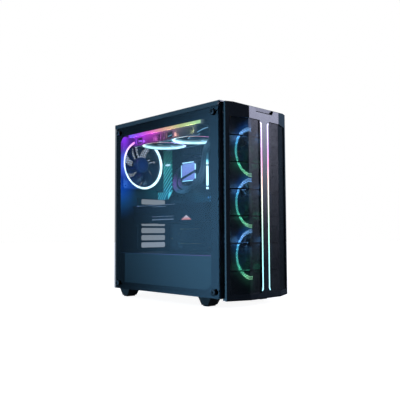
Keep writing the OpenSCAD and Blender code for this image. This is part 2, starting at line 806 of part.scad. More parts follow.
// Shield plate and the rear sockets behind it
module io_ports() color("#9aa0a8") {
    difference() {
        block([36.3, board_x - 0.2], [rear_in - 0.8, rear_in + 0.4], [266.6, 424.7]);
        for (p = port_list())
            block([p[0] + 1, p[1] - 1], [rear_in - 2, chassis_rear], [p[2] + 1, p[3] - 1]);
    }
    for (p = port_list())
        difference() {
            block([p[0], p[1]], [188, rear_in - 0.8], [p[2], p[3]]);
            block([p[0] + 1, p[1] - 1], [rear_in - 3.4, rear_in], [p[2] + 1, p[3] - 1]);
        }
}

// Each socket's low and high X, then low and high Z
function port_list() = [
    for (k = [0:2]) [61, 77.8, 276 + k * 17, 290 + k * 17],
    [58, 77.8, 330, 347], [61, 77.8, 352, 366], [61, 77.8, 371, 385],
    [56, 77.8, 392, 406]
];

module memory_sticks() color("#2c3036")
    for (y = [memory_y[1], memory_y[3]]) {
        block([37, 72], [y - 3.4, y + 3.4], [279, 413]);
        block([33.5, 37], [y - 2.6, y + 2.6], [281, 411]);
    }

// ---------------------------------------------------------------- graphics card

module card_shroud() color("#1b1e22")
    difference() {
        block([card_left, 62], [card_front, 198], [shroud_low, card_z - 2]);
        block([card_left + 3, 59], [card_front + 3, 195], [shroud_low + 4, card_z]);
        for (y = card_fans)
            translate([2, y, shroud_low - 1]) cylinder(r = card_fan_r + 2, h = 8);
        // Side grille and end grille
        for (y = [130:10:180])
            block([card_left - 1, card_left + 5], [y, y + 5], [216, 230]);
        for (x = [-40:12:40])
            block([x, x + 6], [card_front - 1, card_front + 5], [202, 228]);
    }

// Fin stack inside the shroud, with room below it for the rotors
module card_heatsink() color("#8f959d") {
    block([card_left + 8, 54], [card_front + 8, 190], [card_z - 8, card_z - 4]);
    for (k = [0:26])
        block([card_left + 10, 52], [card_front + 10 + k * 10, card_front + 11 + k * 10],
              [shroud_low + 21, card_z - 8]);
}

module card_board() color("#1a1d21") {
    block([card_left + 2, 67], [card_front + 2, 204.5], [card_z - 2, card_z]);
    // Stiffening plate on the back
    difference() {
        block([card_left, 60], [card_front, 204], [card_z, card_z + 2.4]);
        for (y = [card_front + 12:9:card_front + 60])
            translate([0, y, card_z - 1]) linear_extrude(5) plate(60, 4);
    }
}

module card_bracket() color("#b6bcc4")
    difference() {
        slot_bracket(slot_z(card_slots[0]) - 9.2, slot_z(card_slots[1]) + 9.2);
        for (k = [0:2])
            along_y(rear_in - 2, 3) translate([-8 + k * 24, slot_z(4) + 18]) plate(18, 7);
        for (k = [0:9])
            along_y(rear_in - 2, 3) translate([-20 + k * 8, slot_z(4) - 1]) round_rect(4, 14, 1.9);
        for (k = card_slots)
            rod_x(-36, 3, chassis_rear + 5.5, slot_z(k) + 5.5, 2);
    }

module card_rotor(k) color("#24272c") translate([2, card_fans[k], shroud_low + 1]) {
    cylinder(r = 15, h = 13);
    intersection() {
        difference() {
            translate([0, 0, 1]) cylinder(r = card_fan_r, h = 11);
            cylinder(r = 14.5, h = 13);
        }
        for (b = [0:8])
            rotate(b * 40) translate([0, 5, 6.5]) rotate([-34, 0, 0])
                translate([12, -10, -0.7]) cube([60, 20, 1.4]);
    }
}

// ---------------------------------------------------------------- power supply

module psu_case() color("#141518") {
    wall = 1;
    difference() {
        block([psu_x, psu_x + psu_w], [psu_rear - psu_len, psu_rear], [pan_top, psu_top]);
        block([psu_x + wall, psu_x + psu_w - wall],
              [psu_rear - psu_len + wall, psu_rear - wall], [pan_top + wall, psu_top - wall]);
        translate([psu_fan[0], psu_fan[1], pan_top - 1]) cylinder(r = 62, h = 4);
        along_y(psu_rear - 3, 5) translate([psu_x + 62, pan_top + 28]) honeycomb(26, 7.2, 5.8);
        block([inlet_x - 12.5, inlet_x + 12.5], [psu_rear - 3, psu_rear + 1],
              [plug_z - 10, plug_z + 10]);
        block([switch_x - 7, switch_x + 7], [psu_rear - 3, psu_rear + 1],
              [plug_z - 11.2, plug_z + 11.2]);
        for (p = psu_screws()) rod_y(psu_rear - 6, 8, p[0], p[1], 1.85);
        block([-60, 50], [psu_rear - psu_len - 1, psu_rear - psu_len + 2],
              [pan_top + 20, pan_top + 60]);
    }
    // Wire finger guard over the fan
    for (r = [14:12:62])
        translate([psu_fan[0], psu_fan[1], pan_top + 0.2]) difference() {
            cylinder(r = r + 0.8, h = 1.6);
            translate([0, 0, -1]) cylinder(r = r - 0.8, h = 4);
        }
    for (a = [45, 135])
        translate([psu_fan[0], psu_fan[1], pan_top + 1.8]) rotate(a)
            block([-62.5, 62.5], [-0.8, 0.8], [0, 1]);
}

module psu_rotor() color("#1b1c20") translate([psu_fan[0], psu_fan[1], pan_top + 5]) {
    cylinder(r = 20, h = 16);
    intersection() {
        difference() {
            translate([0, 0, 1]) cylinder(r = 57, h = 13);
            cylinder(r = 19.5, h = 16);
        }
        for (b = [0:8])
            rotate(b * 40) translate([0, 6, 7.5]) rotate([36, 0, 0])
                translate([16, -12, -0.8]) cube([80, 24, 1.6]);
    }
}

// Mains inlet with three blades
module psu_inlet() color("#0e0e0f") {
    difference() {
        block([inlet_x - 12.4, inlet_x + 12.4], [psu_rear - 22, psu_rear + 0.8],
              [plug_z - 9.9, plug_z + 9.9]);
        block([inlet_x - 11, inlet_x + 11], [psu_rear - 18, psu_rear + 1],
              [plug_z - 7, plug_z + 7]);
    }
    for (p = [[-7, -2], [0, 3], [7, -2]])
        block([inlet_x + p[0] - 1, inlet_x + p[0] + 1], [psu_rear - 18, psu_rear - 5],
              [plug_z + p[1] - 2, plug_z + p[1] + 2]);
}

// Rocker: a wide V that tips about its middle
module psu_switch() color("#0e0e0f")
    along_x(switch_x - 6.4, 12.8) translate([psu_rear - 3, plug_z])
        polygon([[-3, -6], [-3, 6], [2.4, 9.6], [3.6, 0], [5.2, -9.6], [2.2, -9.8]]);

// ---------------------------------------------------------------- drives and cables

module drive_cage() color("#1a1c20") {
    for (y = [-146, -33]) block([-48, 80], [y, y + sheet], [pan_top, 98]);
    block([-48, 80], [-145, -33], [97, 98]);
    for (z = [26, 62], y = [-145, -36]) block([-48, 80], [y, y + 3], [z - 2, z]);
}

module drive_trays() color("#15161a")
    for (z = [26, 62])
        difference() {
            block([-46, 79], [-144.6, -33.4], [z, z + 28]);
            block([-40, 73], [-140, -38], [z + 2, z + 30]);
        }

// Board and card power leads, from behind the tray and from under the shroud
cable_routes = [
    [[96, -62, 315], [92, -60, 315], [84.5, -57, 315], [76, -53, 315], [69, -48, 315],
     [61, -43, 315], [56, -38, 315], [56, -34, 315], [60, -33.8, 315], [63.4, -33.8, 315]],
    [[-20, -98, 100], [-20, -98, 114], [-20, -99, 130], [-21, -101, 150], [-22, -102.5, 170],
     [-23, -102.2, 188], [-24, -99.5, 202], [-24.5, -94.5, 211], [-25, -89, 215],
     [-25, -84.3, 215.6]]
];

module power_cables() color("#101114") {
    sweep(cable_routes[0], [0, 1, 0], 6, 44, 12, 2);
    sweep(cable_routes[1], [1, 0, 0], 20, 7, 12, 2);
}

base_pan();
front_wall();
rear_wall();
top_frame();
motherboard_tray();
power_shroud();
feet();
foot_pads();
panel_bushings();
chassis_screws();
slot_covers();
light_bar();
top_cover();
top_filter();
bottom_filter();
power_button();
light_button();
port_module();
glass_panel();
glass_border();
glass_screw(screw_y[0], screw_z[0]);  // glass_screw_1
glass_screw(screw_y[0], screw_z[1]);  // glass_screw_2
glass_screw(screw_y[1], screw_z[0]);  // glass_screw_3
glass_screw(screw_y[1], screw_z[1]);  // glass_screw_4
side_panel();
side_panel_screws();
front_panel();
front_mesh();
light_guides();
fan_frames();
fan_light_rings();
front_rotor(0);  // front_rotor_1
front_rotor(1);  // front_rotor_2
front_rotor(2);  // front_rotor_3
rear_rotor();
top_rotor(0);  // top_rotor_1
top_rotor(1);  // top_rotor_2
radiator();
coolant_tubes();
pump_head();
pump_cap();
motherboard();
board_sockets();
board_heatsinks();
io_cover();
io_ports();
memory_sticks();
card_shroud();
card_heatsink();
card_board();
card_bracket();
card_rotor(0);  // card_rotor_1
card_rotor(1);  // card_rotor_2
psu_case();
psu_rotor();
psu_inlet();
psu_switch();
drive_cage();
drive_trays();
power_cables();
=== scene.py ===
"""Looks of the desktop computer tower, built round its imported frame."""
import json
import math
import random

import bmesh
import bpy
from mathutils import Matrix, Vector


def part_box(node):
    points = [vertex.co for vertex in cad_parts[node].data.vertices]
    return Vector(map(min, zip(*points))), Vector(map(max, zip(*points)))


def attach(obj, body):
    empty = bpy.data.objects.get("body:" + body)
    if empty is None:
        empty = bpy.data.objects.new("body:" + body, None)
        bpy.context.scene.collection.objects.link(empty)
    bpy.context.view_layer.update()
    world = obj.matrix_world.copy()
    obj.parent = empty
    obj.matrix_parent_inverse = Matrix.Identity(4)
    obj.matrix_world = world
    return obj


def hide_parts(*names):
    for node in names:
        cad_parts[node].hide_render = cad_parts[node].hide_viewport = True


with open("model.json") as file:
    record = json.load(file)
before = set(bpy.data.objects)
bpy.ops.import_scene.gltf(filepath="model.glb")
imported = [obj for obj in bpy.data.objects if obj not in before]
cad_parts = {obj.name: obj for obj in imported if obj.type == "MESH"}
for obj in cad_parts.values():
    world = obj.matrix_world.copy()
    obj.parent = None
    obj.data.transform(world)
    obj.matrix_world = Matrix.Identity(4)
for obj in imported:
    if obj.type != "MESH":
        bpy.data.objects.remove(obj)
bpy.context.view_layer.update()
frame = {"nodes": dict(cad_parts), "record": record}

MM = 0.001
# For each axis: the two axes across it, then itself
AXES = {"x": (1, 2, 0), "y": (0, 2, 1), "z": (0, 1, 2)}
# Places in millimetres, as in the CAD
FAN_STEP = 120
FRONT_FANS = [(0, 114.2 + FAN_STEP * k) for k in range(3)]  # x, z
REAR_FAN = (-35, 357)                                       # x, z
TOP_FANS = [(-40, -32 + FAN_STEP * k) for k in range(2)]    # x, y
PUMP = (71, 333)                                            # y, z
BAR_SPAN = (-112, 152)                                      # y
SLOT_STEP = 20.32
BOARD_FACE = 78                                             # x
CARD_FACE = -56.8                                           # x
REAR_FACE = 208                                             # y
random.seed(47)


# ---- materials

class Tree:
    """A material with short calls for its nodes."""

    def __init__(self, name):
        self.mat = bpy.data.materials.new(name)
        self.mat.use_nodes = True
        self.mat.node_tree.nodes.clear()
        self.coords = self.add("TexCoord").outputs["Object"]

    def add(self, kind, settings=None, **inputs):
        n = self.mat.node_tree.nodes.new("ShaderNode" + kind)
        for key, value in (settings or {}).items():
            setattr(n, key, value)
        for key, value in inputs.items():
            self.put(n.inputs[key.replace("_", " ")], value)
        return n

    def put(self, socket, value):
        if isinstance(value, bpy.types.NodeSocket):
            self.mat.node_tree.links.new(value, socket)
        elif value is not None:
            if socket.type == "RGBA" and len(value) == 3:
                value = (*value, 1)
            socket.default_value = value

    def math(self, operation, a, b=None, c=None):
        n = self.add("Math", {"operation": operation})
        for socket, value in zip(n.inputs, (a, b, c)):
            self.put(socket, value)
        return n.outputs[0]

    def times(self, a, b):
        return self.math("MULTIPLY", a, b)

    def xyz(self):
        """The object's coordinates in metres, as three numbers."""
        return self.add("SeparateXYZ", Vector=self.coords).outputs

    def noise(self, scale, detail=3.0, stretch=(1, 1, 1)):
        where = self.add("Mapping", Vector=self.coords, Scale=stretch).outputs[0]
        return self.add("TexNoise", Vector=where, Scale=scale, Detail=detail,
                        Roughness=0.5).outputs[0]

    def span(self, value, low, high, to_low=0.0, to_high=1.0):
        n = self.add("MapRange", Value=value)
        for key, v in zip(("From Min", "From Max", "To Min", "To Max"),
                          (low, high, to_low, to_high)):
            n.inputs[key].default_value = v
        return n.outputs[0]

    def ramp(self, value, stops):
        n = self.add("ValToRGB", Fac=value)
        points = n.color_ramp.elements
        for k, (place, colour) in enumerate(stops):
            point = points[k] if k < 2 else points.new(place)
            point.position = place
            point.color = (*colour, 1)
        return n.outputs[0]

    def mix(self, fac, a, b, blend="MIX"):
        n = self.add("Mix", {"data_type": "RGBA", "blend_type": blend})
        self.put(n.inputs[0], fac)
        self.put(n.inputs[6], a)
        self.put(n.inputs[7], b)
        return n.outputs[2]

    def part(self, share, colour):
        """A share of a colour's brightness."""
        return self.mix(share, (0, 0, 0), colour)

    def bump(self, height, depth):
        return self.add("Bump", Height=height, Distance=depth, Strength=1.0).outputs[0]

    def near(self, operation, point, none, full):
        """0 to 1 from a distance to a point, or from a dot product with it."""
        n = self.add("VectorMath", {"operation": operation})
        self.put(n.inputs[0], self.coords)
        n.inputs[1].default_value = point
        span = self.add("MapRange", {"interpolation_type": "SMOOTHSTEP"},
                        Value=n.outputs["Value"])
        span.inputs["From Min"].default_value = none
        span.inputs["From Max"].default_value = full
        return span.outputs[0]

    def blend(self, share, first, second):
        """One shader, and a share of another in its place."""
        n = self.add("MixShader")
        for socket, value in zip(n.inputs, (share, first.outputs[0], second.outputs[0])):
            self.put(socket, value)
        return n.outputs[0]

    def finish(self, shader):
        out = self.add("OutputMaterial")
        self.mat.node_tree.links.new(shader, out.inputs[0])
        return self.mat


def shade(colour, k):
    return tuple(min(1.0, c * k) for c in colour)


def add_up(t, *colours):
    total = colours[0]
    for colour in colours[1:]:
        total = t.mix(1.0, total, colour, "ADD")
    return total


def spots(t, places):
    """Coloured light on a surface round points: (x, y, z) and reach in mm, then its colour."""
    return add_up(t, *(t.part(t.near("DISTANCE", [c * MM for c in point], reach * MM, 0), colour)
                       for point, reach, colour in places))


def surface(name, colour, rough=0.5, metal=0.0, mottle=0.25, grain=1400.0, depth=0.00008,
            coat=0.0, specular=0.5, stretch=(1, 1, 1), spill=None, strength=1.0):
    """A finished solid surface: uneven colour, uneven gloss and a fine relief.

    spill(tree) gives the colour of the lights that fall on it.
    """
    t = Tree(name)
    broad = t.noise(14, 4)
    fine = t.noise(grain, 2, stretch)
    tint = t.mix(t.span(broad, 0.3, 0.7), shade(colour, 1 - mottle), shade(colour, 1 + mottle))
    tint = t.mix(t.span(fine, 0.35, 0.75, 0, 0.35), tint, shade(colour, 1.6))
    gloss = t.math("ADD", t.span(broad, 0.3, 0.7, rough - 0.1, rough + 0.1),
                   t.span(fine, 0.3, 0.7, -0.04, 0.06))
    p = t.add("BsdfPrincipled", Base_Color=tint, Roughness=gloss, Metallic=metal,
              Coat_Weight=coat, Coat_Roughness=0.12, Specular_IOR_Level=specular,
              Normal=t.bump(fine, depth))
    if spill:
        cloud = t.span(fine, 0.3, 0.7, 0.85, 1.1)
        t.put(p.inputs["Emission Color"], t.mix(1.0, spill(t), cloud, "MULTIPLY"))
        p.inputs["Emission Strength"].default_value = strength
        t.mat.cycles.emission_sampling = "NONE"
    return t.finish(p.outputs[0])


def glow(name, stops, place, strength, leds=None):
    """A lit diffuser, or a painted highlight that glows. place(tree) gives 0 to 1 along it, and
    stops are its colours.
    """
    t = Tree(name)
    along = place(t)
    colour = t.ramp(along, stops)
    cloud = t.span(t.noise(60, 2), 0.3, 0.7, 0.86, 1.06)
    if leds:
        wave = t.math("SINE", t.times(along, leds * 2 * math.pi))
        cloud = t.times(cloud, t.span(wave, -1, 1, 0.82, 1.08))
    lit = t.mix(1.0, colour, cloud, "MULTIPLY")
    p = t.add("BsdfPrincipled", Base_Color=t.mix(0.5, colour, (0.5, 0.5, 0.5)), Roughness=0.35,
              Emission_Color=lit, Emission_Strength=strength)
    return t.finish(p.outputs[0])


def along_axis(axis, low, high):
    def place(t):
        return t.span(t.xyz()[axis], low * MM, high * MM)
    return place


def round_centre(u, v, cu, cv):
    """0 to 1 anticlockwise round a centre, in the plane of axes u and v, from -u."""
    def place(t):
        xyz = t.xyz()
        a = t.math("SUBTRACT", xyz[u], cu * MM)
        b = t.math("SUBTRACT", xyz[v], cv * MM)
        return t.span(t.math("ARCTAN2", b, a), -math.pi, math.pi)
    return place


def glass(name, tint):
    """Tinted see-through glass with a mirror that grows towards grazing angles."""
    t = Tree(name)
    smear = t.span(t.noise(9, 3), 0.35, 0.75, 0.02, 0.07)
    clear = t.add("BsdfTransparent", Color=tint)
    mirror = t.add("BsdfPrincipled", Base_Color=(0.85, 0.92, 1.0), Roughness=smear,
                   Metallic=1.0, Specular_IOR_Level=0.5)
    facing = t.add("LayerWeight", Blend=0.5).outputs["Facing"]
    share = t.math("MULTIPLY_ADD", t.math("POWER", facing, 4.0), 0.3, 0.02)
    return t.finish(t.blend(share, clear, mirror))


BLACK_STEEL = surface("black_steel", (0.013, 0.016, 0.021), 0.4, grain=1800, depth=0.00005)
MATTE_BLACK = surface("matte_black", (0.012, 0.014, 0.018), 0.34, grain=2400, depth=0.00006)
RUBBER = surface("rubber_pad", (0.012, 0.012, 0.013), 0.8, grain=900, depth=0.0001)
SCREW_BLACK = surface("screw_black", (0.03, 0.031, 0.035), 0.3, 0.7, grain=3000)
BRIGHT_STEEL = surface("bright_steel", (0.56, 0.57, 0.6), 0.28, 1.0, mottle=0.12, grain=900,
                       stretch=(1, 1, 14))
FINS = surface("coated_fins", (0.05, 0.053, 0.06), 0.38, 0.6, grain=700)
SOCKET = surface("socket_plastic", (0.018, 0.019, 0.022), 0.45)
SLEEVE = surface("braided_sleeve", (0.012, 0.012, 0.014), 0.65, grain=1500, depth=0.0003)
GLASS = glass("tinted_glass", (0.44, 0.47, 0.5))
GLASS_PAINT = surface("glass_paint", (0.006, 0.008, 0.01), 0.12, coat=0.6, grain=300,
                      depth=0.00001)

BAR_COLOURS = [
    (0.0, (0.5, 0.75, 0.3)), (0.25, (0.6, 0.6, 0.2)), (0.5, (0.95, 0.4, 0.3)),
    (0.7, (0.95, 0.12, 0.6)), (0.85, (0.5, 0.1, 0.85)), (1.0, (0.2, 0.12, 0.85))]
BAR_WASH = [(0, (0.4, 0.5, 0.45)), (0.3, (0.6, 0.45, 0.5)), (0.5, (1.2, 0.4, 0.8)),
            (0.66, (2.7, 0.2, 2.2)), (0.85, (2.6, 0.1, 3.2)), (1.0, (1.0, 0.1, 2.8))]
BAR_LIGHT = glow("light_bar_glow", BAR_COLOURS, along_axis(1, *BAR_SPAN), 4.2)
STRIP_LIGHT = glow("strip_glow", [
    (0.0, (0.35, 0.75, 0.85)), (0.2, (0.3, 0.8, 0.75)), (0.38, (0.45, 0.85, 0.55)),
    (0.55, (0.85, 0.8, 0.6)), (0.66, (1.0, 0.6, 0.5)), (0.76, (1.0, 0.3, 0.6)),
    (0.84, (0.85, 0.3, 0.9)), (1.0, (0.8, 0.75, 1.0))],
    along_axis(2, 33, 420), 1.7)

# The looks of the CAD's slots. Detailed pieces stand in for most lights and rotors below.
LOOKS = {
    "chassis_steel": BLACK_STEEL, "screw_steel": SCREW_BLACK, "black_plastic": MATTE_BLACK,
    "rubber": RUBBER, "light_bar": BAR_LIGHT, "filter_mesh": MATTE_BLACK,
    "front_mesh": BLACK_STEEL, "light_guide": STRIP_LIGHT, "ring_light": STRIP_LIGHT,
    "pump_light": STRIP_LIGHT, "button_ring": MATTE_BLACK, "port_metal": BRIGHT_STEEL,
    "tinted_glass": GLASS, "black_paint": GLASS_PAINT, "rotor_plastic": MATTE_BLACK,
    "radiator_fins": FINS, "coolant_tube": SLEEVE, "circuit_board": MATTE_BLACK,
    "socket_plastic": SOCKET, "memory_metal": FINS, "cable_sleeve": SLEEVE,
}


def under_bar(t):
    """Light that the bar throws on what stands below it, near the glass."""
    xyz = t.xyz()
    colour = t.ramp(along_axis(1, *BAR_SPAN)(t), BAR_WASH)
    down = t.math("POWER", t.span(xyz[2], 0.384, 0.424), 1.2)
    side = t.span(xyz[0], -0.085, -0.1)
    return t.part(t.times(down, side), colour)


def from_centre(t, axis, centre):
    """Distance from an axis through a centre, and the place along that axis."""
    xyz = t.xyz()
    i, j, k = AXES[axis]
    a = t.math("SUBTRACT", xyz[i], centre[0] * MM)
    b = t.math("SUBTRACT", xyz[j], centre[1] * MM)
    r = t.math("SQRT", t.math("ADD", t.times(a, a), t.times(b, b)))
    return r, xyz[k]


def bore_light(t, axis, centre, radius, near, far, colour):
    """A ring's light on the wall of its fan's bore, from full at near to none at far."""
    r, along = from_centre(t, axis, centre)
    wall = t.span(t.math("ABSOLUTE", t.math("SUBTRACT", r, radius * MM)), 0.0014, 0.0006)
    depth = t.math("POWER", t.span(along, far * MM, near * MM), 1.5)
    return t.part(t.times(wall, depth), colour)


def rear_spill(t):
    """Blue, teal and violet light round the rear fan's ring."""
    return spots(t, [
        ((-106, 184, 357), 54, (0.35, 0.6, 3.2)), ((-100, 196, 300), 66, (0, 0.12, 1.2)),
        ((-92, 196, 262), 66, (0, 0.15, 0.55)), ((-98, 186, 412), 50, (0.5, 0.04, 1.3)),
        ((-66, 186, 428), 44, (0.25, 0.03, 0.5)), ((30, 200, 300), 70, (0, 0.14, 0.16))])


def rear_wall_spill(t):
    """As on the frame, and the ring's light on the grille behind the rear fan."""
    r, along = from_centre(t, "y", REAR_FAN)
    inside = t.span(along, 0.2078, 0.2074)
    xyz = t.xyz()
    waves = [t.math("SINE", t.times(t.math("ADD", xyz[0], t.times(xyz[2], k)),
                                    2 * math.pi / 0.0075)) for k in (-0.58, 0.58)]
    dots = t.span(t.times(*waves), -0.1, 0.5)
    high = t.span(xyz[2], 0.31, 0.4, 0.12, 1)
    grille = t.times(t.times(t.span(r, 0.064, 0.058), inside), t.times(dots, high))
    lit = add_up(t, rear_spill(t), t.part(grille, (4.0, 4.4, 5.6)))
    # Only the inner face is lit, not the edges of its holes
    way = t.add("SeparateXYZ", Vector=t.add("TexCoord").outputs["Normal"]).outputs[1]
    return t.part(t.times(inside, t.span(way, -0.5, -0.9)), lit)


def front_spill(t):
    """The front rings' halo: blue above and green below each ring."""
    parts = []
    for k, centre in enumerate(FRONT_FANS):
        r, _ = from_centre(t, "y", centre)
        foot = 54 + FAN_STEP * k
        colour = t.ramp(along_axis(2, foot, foot + FAN_STEP)(t), [
            (0, (0.02, 0.1, 0.06)), (0.3, (0.01, 0.09, 0.07)), (0.5, (0.01, 0.09, 0.12)),
            (0.75, (0.0, 0.12, 0.5)), (1, (0.0, 0.1, 0.5))])
        off_ring = t.math("ABSOLUTE", t.math("SUBTRACT", r, 0.054))
        parts.append(t.part(t.math("POWER", t.span(off_ring, 0.026, 0), 1.5), colour))
    return add_up(t, *parts)


def fan_spill(t):
    """Light of the bar and the rings on the fan frames."""
    bores = [bore_light(t, "y", REAR_FAN, 66, 187, 196, (0.8, 1.6, 2.2))]
    bores += [bore_light(t, "z", centre, 56, 402, 411, (1.6, 2.6, 2.8)) for centre in TOP_FANS]
    return add_up(t, under_bar(t), rear_spill(t), *bores)


def shroud_spill(t):
    """A soft sheen over the shroud's side and a lit line along its upper edge."""
    xyz = t.xyz()
    facing = t.span(xyz[0], -0.1, -0.1035)
    along = t.span(xyz[1], -0.15, 0.2)
    edge = t.times(t.span(xyz[2], 0.1122, 0.1132), facing)
    line = t.ramp(along, [(0, (0.5, 0.15, 0.75)), (0.35, (0.25, 0.3, 0.9)),
                          (0.7, (0.05, 0.12, 0.3)), (1, (0.01, 0.03, 0.06))])
    side = t.times(t.span(xyz[2], 0.02, 0.112, 0.6, 0.85), facing)
    sheen = t.part(side, t.ramp(along, [(0, (0.055, 0.15, 0.2)), (1, (0.03, 0.085, 0.13))]))
    return t.mix(edge, sheen, line)


def notched_front():
    """The front panel's plastic, with painted shade on the face of its finger notch and a painted
    shadow line along the notch's edges.
    """
    t = Tree("front_plastic_notch_shade")
    xyz = t.xyz()
    across = t.math("ABSOLUTE", xyz[0])
    # The notch's sunk face, which gets painted shade
    deep = t.times(t.span(xyz[1], -0.2185, -0.2178), t.span(xyz[1], -0.2125, -0.2135))
    sunk = t.times(deep, t.times(t.span(xyz[2], 0.4395, 0.4402),
                                 t.span(across, 0.0395, 0.039)))
    # How far a point lies inside the notch's slanted ends
    inside = t.math("SUBTRACT", t.math("MULTIPLY_ADD", xyz[2], 0.5714, -0.2227), across)
    rim = t.math("MAXIMUM", t.span(xyz[2], 0.4446, 0.4438), t.span(inside, 0.0036, 0.0028))
    edge = t.times(sunk, rim)
    fine = t.noise(2200, 2)
    broad = t.noise(12, 3)
    base = t.mix(t.span(broad, 0.3, 0.7), (0.003, 0.006, 0.01), (0.005, 0.009, 0.014))
    # Painted shadow line: near black along the notch's edges
    base = t.mix(edge, base, (0.001, 0.001, 0.001))
    rough = t.math("ADD", t.span(broad, 0.3, 0.7, 0.2, 0.25), t.span(fine, 0.3, 0.7, -0.02, 0.03))
    rough = t.math("ADD", rough, t.times(edge, 0.6))
    # Painted shade as well: less specular on the sunk face, and less still on its edges
    p = t.add("BsdfPrincipled", Base_Color=base, Roughness=rough,
              Specular_IOR_Level=t.math("MULTIPLY_ADD", edge, -0.3,
                                        t.math("MULTIPLY_ADD", sunk, -0.12, 0.45)),
              Normal=t.bump(fine, 0.00005))
    return t.finish(p.outputs[0])


def tube_spill(t):
    """Violet and blue light on the coolant tubes."""
    return spots(t, [
        ((30, 130, 300), 38, (0.4, 0.16, 0.8)), ((28, 92, 284), 50, (0.1, 0.3, 0.5)),
        ((26, 20, 330), 70, (0.12, 0.24, 0.36)), ((-30, -60, 392), 60, (0.1, 0.2, 0.28))])


def traced_board():
    """Solder mask with faint runs of copper tracks under it."""
    t = Tree("traced_board")
    xyz = t.xyz()
    cells = t.add("TexVoronoi", {"distance": "MANHATTAN"}, Vector=t.coords, Scale=55.0)
    slope = t.span(cells.outputs["Color"], 0.4, 0.6)
    slant = t.math("ADD", xyz[1], t.times(xyz[2], slope))
    line = t.span(t.math("SINE", t.times(slant, 2 * math.pi / 0.0016)), 0.55, 0.8)
    tracks = t.times(line, t.span(t.noise(30, 2), 0.5, 0.58))
    base = t.mix(tracks, (0.010, 0.014, 0.018), (0.03, 0.045, 0.05))
    gloss = t.span(t.noise(80), 0.3, 0.7, 0.3, 0.42)
    p = t.add("BsdfPrincipled", Base_Color=base, Roughness=gloss, Coat_Weight=0.3,
              Coat_Roughness=0.12, Normal=t.bump(tracks, 0.00008))
    return t.finish(p.outputs[0])


MESH_BLACK = surface("front_mesh_black", (0.003, 0.006, 0.009), 0.32, specular=0.24,
                     grain=1800, depth=0.00005)
OWN_LOOKS = {
    "front_panel": notched_front(),
    "feet": surface("foot_plastic", (0.008, 0.009, 0.011), 0.5, specular=0.3, grain=1600),
    "power_shroud": surface("shroud_satin", (0.03, 0.045, 0.06), 0.38, spill=shroud_spill),
    "rear_wall": surface("rear_steel", (0.012, 0.016, 0.022), 0.4, spill=rear_wall_spill),
    "front_wall": surface("front_steel", (0.012, 0.016, 0.022), 0.4, spill=front_spill),
    "fan_frames": surface("fan_frame_black", (0.012, 0.014, 0.018), 0.36, spill=fan_spill),
    "radiator": surface("radiator_black", (0.012, 0.014, 0.018), 0.4, spill=under_bar,
                        strength=1.4),
    "coolant_tubes": surface("tube_sleeve", (0.02, 0.022, 0.028), 0.6, grain=1500, depth=0.0003,
                             spill=tube_spill),
    "motherboard": traced_board(),
    "card_heatsink": surface("plain_fins", (0.45, 0.46, 0.49), 0.3, 1.0, grain=800),
}
OWN_LOOKS["card_board"] = OWN_LOOKS["motherboard"]
for part in frame["record"]["subparts"]:
    for s in frame["nodes"][part["node"]].material_slots:
        s.material = OWN_LOOKS.get(part["node"], LOOKS[part["material_slot"]])


# ---- shapes

def lift(axis, a, b, h):
    """A point in millimetres from its place across an axis and its height along it."""
    p = [0.0, 0.0, 0.0]
    for k, value in zip(AXES[axis], (a, b, h)):
        p[k] = value
    return p


def turn(axis, centre, r, a, h):
    """A point at a radius and an angle round a centre, and its height along the axis."""
    return lift(axis, centre[0] + r * math.cos(a), centre[1] + r * math.sin(a), h)


